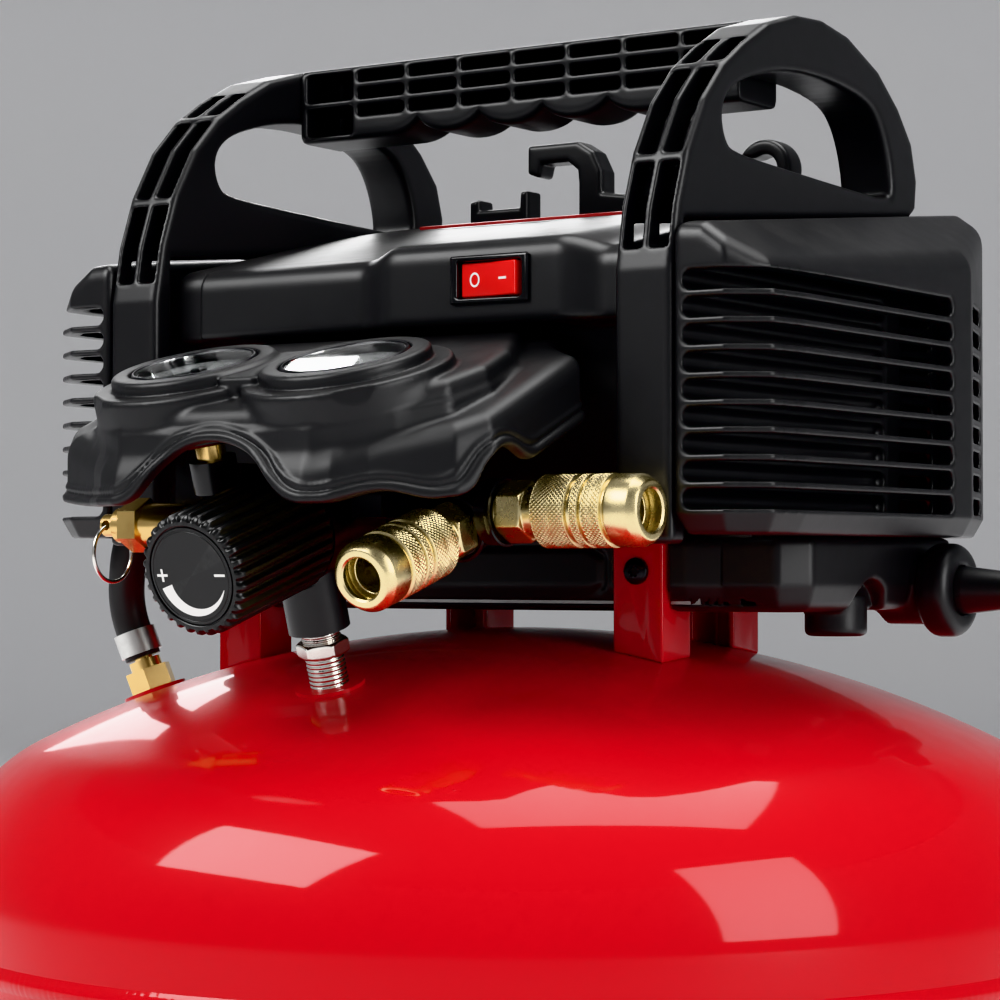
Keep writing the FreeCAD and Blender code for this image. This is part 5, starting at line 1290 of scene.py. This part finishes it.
gauge = {"x": 31.25, "place": (0, -152, 343.5), "radius": 21.5, "deep": 25, "inner": 19.95, "majorTicks": 11,
         "minorPerMajor": 4, "start": 225, "sweep": 270, "top": 160, "numberSize": 3.4, "numberRadius": 11.6,
         "major": (14.2, 17.6, 0.42), "minor": (15.9, 17.6, 0.2), "tickSpan": (-5.03, -4.94), "numberHeight": -4.97,
         "around": 128}
# profiles from the axis outwards: the fitting below, and the dial with a groove near its rim
gauge["stem"] = [(0.05, -40), (5, -40), (5, -33), (5, -25.4), (0.05, -25.4)]
gauge["face"] = [(0.05, -5.8), (19.7, -5.8), (19.8, -5.4), (19.6, -5.02), (18.9, -5.0), (18.8, -5.06),
                 (18.5, -5.06), (18.4, -5.0), (0.05, -5.0)]


def numberMesh(text, size, u, v, matrix):
    curve = bpy.data.curves.new("number", "FONT")
    curve.body = text
    curve.size = size * metre
    curve.align_x = "CENTER"
    curve.align_y = "CENTER"
    curve.extrude = 0.00004
    holder = bpy.data.objects.new("number", curve)
    scene.collection.objects.link(holder)
    graph = bpy.context.evaluated_depsgraph_get()
    mesh = bpy.data.meshes.new_from_object(holder.evaluated_get(graph))
    bpy.data.objects.remove(holder)
    bpy.data.curves.remove(curve)
    mesh.transform(matrix @ Matrix.Translation((u * metre, v * metre, 0)))
    return mesh


def joinedMesh(name, meshes):
    work = bmesh.new()
    for mesh in meshes:
        work.from_mesh(mesh)
        bpy.data.meshes.remove(mesh)
    joined = bpy.data.meshes.new(name)
    work.to_mesh(joined)
    work.free()
    return joined


def tickOutline(angle, near, far, wide):
    along = (math.cos(angle), math.sin(angle))
    across = (-along[1] * wide / 2, along[0] * wide / 2)
    corners = ((near, -1), (far, -1), (far, 1), (near, 1))
    return [(r * along[0] + side * across[0], r * along[1] + side * across[1]) for r, side in corners]


def makeGauge(side, word):
    d = gauge
    place = (side * d["x"], d["place"][1], d["place"][2])
    matrix = placeOn(place, gaugeAxis)
    r, inner, deep = d["radius"], d["inner"], d["deep"]
    bezel = [(inner, -3.0), (r, -3.0), (r, -1.2), (r - 0.25, -0.45), (r - 0.7, -0.08), (r - 1.1, -0.02),
             (inner + 0.15, -0.25), (inner, -0.6), (inner, -3.0)]
    mesh = latheMesh("gauge_bezel_" + word, bezel, 160, matrix)
    addPiece("gauge_bezel_" + word, mesh, "blackScrew", "compressor", ["gauge_case_" + word])
    cup = [(0.05, -deep), (r - 1.2, -deep), (r - 0.2, -deep + 1), (r - 0.2, -3.02), (inner, -3.02), (inner, -5.9),
           (0.05, -5.9)]
    mesh = latheMesh("gauge_cup_" + word, cup, d["around"], matrix)
    addPiece("gauge_cup_" + word, mesh, "blackGloss", "compressor")
    mesh = latheMesh("gauge_stem_" + word, d["stem"], 48, matrix)
    addPiece("gauge_stem_" + word, mesh, "brass", "compressor")
    mesh = latheMesh("gauge_face_" + word, d["face"], d["around"], matrix)
    addPiece("gauge_face_" + word, mesh, "dialPaper", "compressor", ["gauge_dial_" + word])
    ticks = []
    count = (d["majorTicks"] - 1) * d["minorPerMajor"] + 1
    for index in range(count):
        angle = math.radians(d["start"] - d["sweep"] * index / (count - 1))
        size = d["major"] if index % d["minorPerMajor"] == 0 else d["minor"]
        ticks.append(tickOutline(angle, *size))
    flatMarks("gauge_ticks_" + word, ticks, matrix, *d["tickSpan"], "blackInk", "compressor", "gauge_face")
    numbers = []
    faceMatrix = matrix @ Matrix.Translation((0, 0, d["numberHeight"] * metre))
    for index in range(0, d["majorTicks"], 2):
        share = index / (d["majorTicks"] - 1)
        angle = math.radians(d["start"] - d["sweep"] * share)
        u, v = d["numberRadius"] * math.cos(angle), d["numberRadius"] * math.sin(angle)
        numbers.append(numberMesh(str(int(d["top"] * share)), d["numberSize"], u, v, faceMatrix))
    mesh = joinedMesh("gauge_numbers_" + word, numbers)
    addPiece("gauge_numbers_" + word, mesh, "blackInk", "compressor")


makeGauge(-1, "left")
makeGauge(1, "right")

switch = {"place": (49, -92, 372), "tilt": -7, "offset": 6.1, "foldRise": 1.0, "foldRun": 11.65, "proud": 2.08,
          "ring": (2.0, 1.45), "tall": 1.25, "segments": 40, "bar": (3.6, 0.8), "low": -0.05, "high": 0.12}


def makeSwitch():
    d = switch
    softened("switch_frame", "switch_bezel", "blackGloss", "compressor", 0.9, 3)
    softened("rocker_cap", "power_rocker", "redSwitch", "rocker", 0.7, 4)
    turn = Matrix.Translation(Vector(d["place"]) * metre) @ Matrix.Rotation(math.radians(d["tilt"]), 4, "Z")
    fold = math.atan2(d["foldRise"], d["foldRun"])
    ring = []
    outer, inner = d["ring"]
    for step in range(d["segments"]):
        a, b = fullTurn * step / d["segments"], fullTurn * (step + 1) / d["segments"]
        corners = ((inner, a), (outer, a), (outer, b), (inner, b))
        ring.append([(r * math.cos(angle), d["tall"] * r * math.sin(angle)) for r, angle in corners])
    for name, side, outlines in (("rocker_ring", -1, ring), ("rocker_bar", 1, [bar(0, 0, *d["bar"])])):
        centre = Vector((side * d["offset"], -d["proud"] - d["offset"] / d["foldRun"], 0)) * metre
        face = turn @ Matrix.Translation(centre) @ Matrix.Rotation(math.radians(90), 4, "X")
        face = face @ Matrix.Rotation(-side * fold, 4, "Y")
        flatMarks(name, outlines, face, d["low"], d["high"], "whiteInk", "rocker", "red_switch")


makeSwitch()
print("gauges and switch made")

# screws, hooks and lower housing
screw = {"radius": 4.7, "tall": 3.0, "dome": (6.0, 9.0), "star": 1.75, "lobe": 0.19, "deep": 1.6, "step": 0.16,
         "low": (-5, -5, -0.1), "high": (5, 5, 3.2)}
screwPlaces = [
    ((-101, -40, 274), (0, -1, 0)), ((74, -40, 274), (0, -1, 0)),
    ((-55, 65, 274), (0, 1, 0)), ((55, 65, 274), (0, 1, 0)),
]


def makeScrews():
    d = screw
    block = Block(d["low"], d["high"], d["step"] * coarse)
    x, y, z = block.x, block.y, block.z
    radial = hypot(x, y)
    head = roundField(radial, z, d["radius"], 0, d["tall"], 0.3)
    sink, domeRadius = d["dome"]
    head = meet(head, hypot(radial, z + sink) - domeRadius, 0.5)
    star = radial - d["star"] * (1 + d["lobe"] * np.cos(6 * np.arctan2(y, x)))
    head = trim(head, np.maximum(star, d["tall"] - d["deep"] - z), 0.15)
    mesh = block.skin("bracket_screw_heads", head)
    meshes = []
    for place, axis in screwPlaces:
        one = mesh.copy()
        one.transform(placeOn(place, axis))
        meshes.append(one)
    bpy.data.meshes.remove(mesh)
    mesh = joinedMesh("bracket_screw_heads", meshes)
    addPiece("bracket_screw_heads", mesh, "blackScrew", "compressor", ["bracket_screws"])


makeScrews()

hooks = {
    "claw": [(-13, 412), (-9, 421), (-9, 432), (-13, 440), (-20, 444.4), (-44, 444.4), (-44, 433), (-38.5, 431),
             (-37, 436.5), (-25, 436.5), (-20.5, 433), (-20, 428), (-20, 412)],
    "brace": [(-14, 412), (-14, 424), (8, 421), (14, 419), (30, 417.5), (30, 412)],
    "clip": [(-72, 412), (-72, 423.5), (-67.5, 424.5), (-67, 420), (-48, 420), (-47.5, 426.5), (-44, 426.5),
             (-44, 412)],
    "curlFoot": [(56, 412), (56, 419), (70, 419), (70, 412)], "curl": (63, 427, 11.5, 5.6), "curlGap": (422.5, 431.5),
    "back": 84, "front": 72, "roof": (41, 411, 5 / 43), "low": (-73, 71.5, 411), "high": (76, 84.5, 446.5),
    "step": 0.6,
}


def makeHooks():
    d = hooks
    block = Block(d["low"], d["high"], d["step"] * coarse)
    x, y, z = block.x, block.y, block.z
    body = outlineField(x, z, d["claw"], 1.4)
    body = join(body, outlineField(x, z, d["brace"], 1.0), 1.5)
    body = join(body, outlineField(x, z, d["clip"], 0.8), 1.0)
    middleX, middleZ, outer, inner = d["curl"]
    gapLow, gapHigh = d["curlGap"]
    fromMiddle = hypot(x - middleX, z - middleZ)
    gap = np.maximum(np.maximum(x - middleX, z - gapHigh), gapLow - z)
    curl = trim(np.maximum(fromMiddle - outer, -(fromMiddle - inner)), gap, 1.0)
    curl = join(curl, outlineField(x, z, d["curlFoot"], 0.5), 2.0)
    body = join(body, curl)
    body = meet(body, np.maximum(d["front"] - y, y - d["back"]), 2.4)
    crestY, crestZ, slope = d["roof"]
    body = np.maximum(body, crestZ + (y - crestY) * slope - 1.0 - z)
    addPiece("hooks", block.skin("hooks", body), "blackShell", "compressor", ["cord_hooks"])


makeHooks()

tray = {
    "plan": [(-123, -38), (92, -38), (104, -34), (126, -36), (135, -26), (135, 84), (123, 96), (-123, 96),
             (-135, 84), (-135, -26)],
    "emboss": [(-84, 262.5), (50, 262.5), (59, 269), (59, 279), (52, 283), (-84, 283)], "embossHalf": 0.9,
    "low": 260, "high": 286, "taperTall": 9, "taper": 0.35, "scoop": (20, 258, 13, 128), "flange": (63, 267),
    "rings": [(12.5, 120, 140, 1.0, 3.0), (16.9, 137, 149.9, 4.5, 2.0)], "cordBore": (8.7, 130),
    "boss": (120, 20), "bossSize": (11, 251, 266, 2.0), "wall": 2.6, "hollowEnd": 118, "gap": 0.5,
    "brackets": [(-111, -91, -42, -20), (64, 84, -42, -20), (-65, -45, 45, 66), (45, 65, 45, 66)],
    "blockLow": (-136, -40, 250), "blockHigh": (151, 97, 287), "step": 1.0,
}


def makeTray():
    d = tray
    block = Block(d["blockLow"], d["blockHigh"], d["step"] * coarse)
    x, y, z = block.x, block.y, block.z
    plan = outlineField(x, y, d["plan"], 3)
    taper = over(d["low"] + d["taperTall"] - z) * d["taper"]
    body = meet(plan + taper, np.maximum(d["low"] - z, z - d["high"]), 3.5)
    # the raised outline on the front, and the hollow under the right end
    face = outlineField(x, z, insetOutline(d["emboss"], 0.01), 1.5)
    body = trim(body, np.maximum(np.abs(face) - d["embossHalf"], y + 36.8), 0.8)
    scoopY, scoopZ, scoopRadius, scoopX = d["scoop"]
    body = trim(body, np.maximum(hypot(y - scoopY, z - scoopZ) - scoopRadius, scoopX - x), 2.0)
    bossX, bossY = d["boss"]
    body = join(body, roundField(hypot(x - bossX, y - bossY), z, *d["bossSize"]), 1.0)
    # the cord outlet: two rings and their bore
    radial = hypot(y - d["flange"][0], z - d["flange"][1])
    for radius, start, stop, rounding, soft in d["rings"]:
        body = join(body, roundField(radial, x, radius, start, stop, rounding), soft)
    boreRadius, boreStart = d["cordBore"]
    body = trim(body, np.maximum(radial - boreRadius, boreStart - x), 0.6)
    gap = d["gap"]
    for x0, x1, y0, y1 in d["brackets"]:
        body = trim(body, blockField(x, y, z, (x0 - gap, y0 - gap, 240), (x1 + gap, y1 + gap, 300)))
    inside = outlineField(x, y, insetOutline(d["plan"], d["wall"]), 2)
    inside = np.maximum(inside, d["low"] + d["wall"] - z)
    body = trim(body, np.maximum(inside, x - d["hollowEnd"]))
    mesh = block.skin("lower_tray", body)
    addPiece("lower_tray", mesh, "blackShell", "compressor", ["lower_housing"])


makeTray()
print("screws, hooks and tray made")

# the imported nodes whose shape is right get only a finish
plainDress = {
    "blackShell": ["shroud_rear", "strain_relief"],
    "blackGloss": ["pressure_switch", "regulator_bonnet", "manifold_body"],
    "hoseRubber": ["delivery_hose", "drive_belt"],
    "redLever": ["drain_lever"],
    "greyPlastic": ["cooling_fan"],
    "brass": ["safety_valve_body", "safety_valve_stem", "check_valve", "drain_valve_body"],
    "nickel": ["pull_ring"],
    "zincSteel": ["hose_clamps", "piston_rod", "valve_plate", "shaft_bearings"],
    "castAluminium": ["pump_frame", "cylinder", "cylinder_head", "crank_pulley"],
    "lamination": ["motor_armature", "motor_stator"],
    "blackScrew": ["head_bolts", "foot_screws"],
    "redPaint": ["tank_bungs"],
    "clearLens": ["gauge_lens_left", "gauge_lens_right"],
    "blackInk": ["gauge_needle_left", "gauge_needle_right"],
}
for finish, nodes in plainDress.items():
    for node in nodes:
        dress(node, finish)
print("finishes given to", sum(len(nodes) for nodes in plainDress.values()), "nodes")
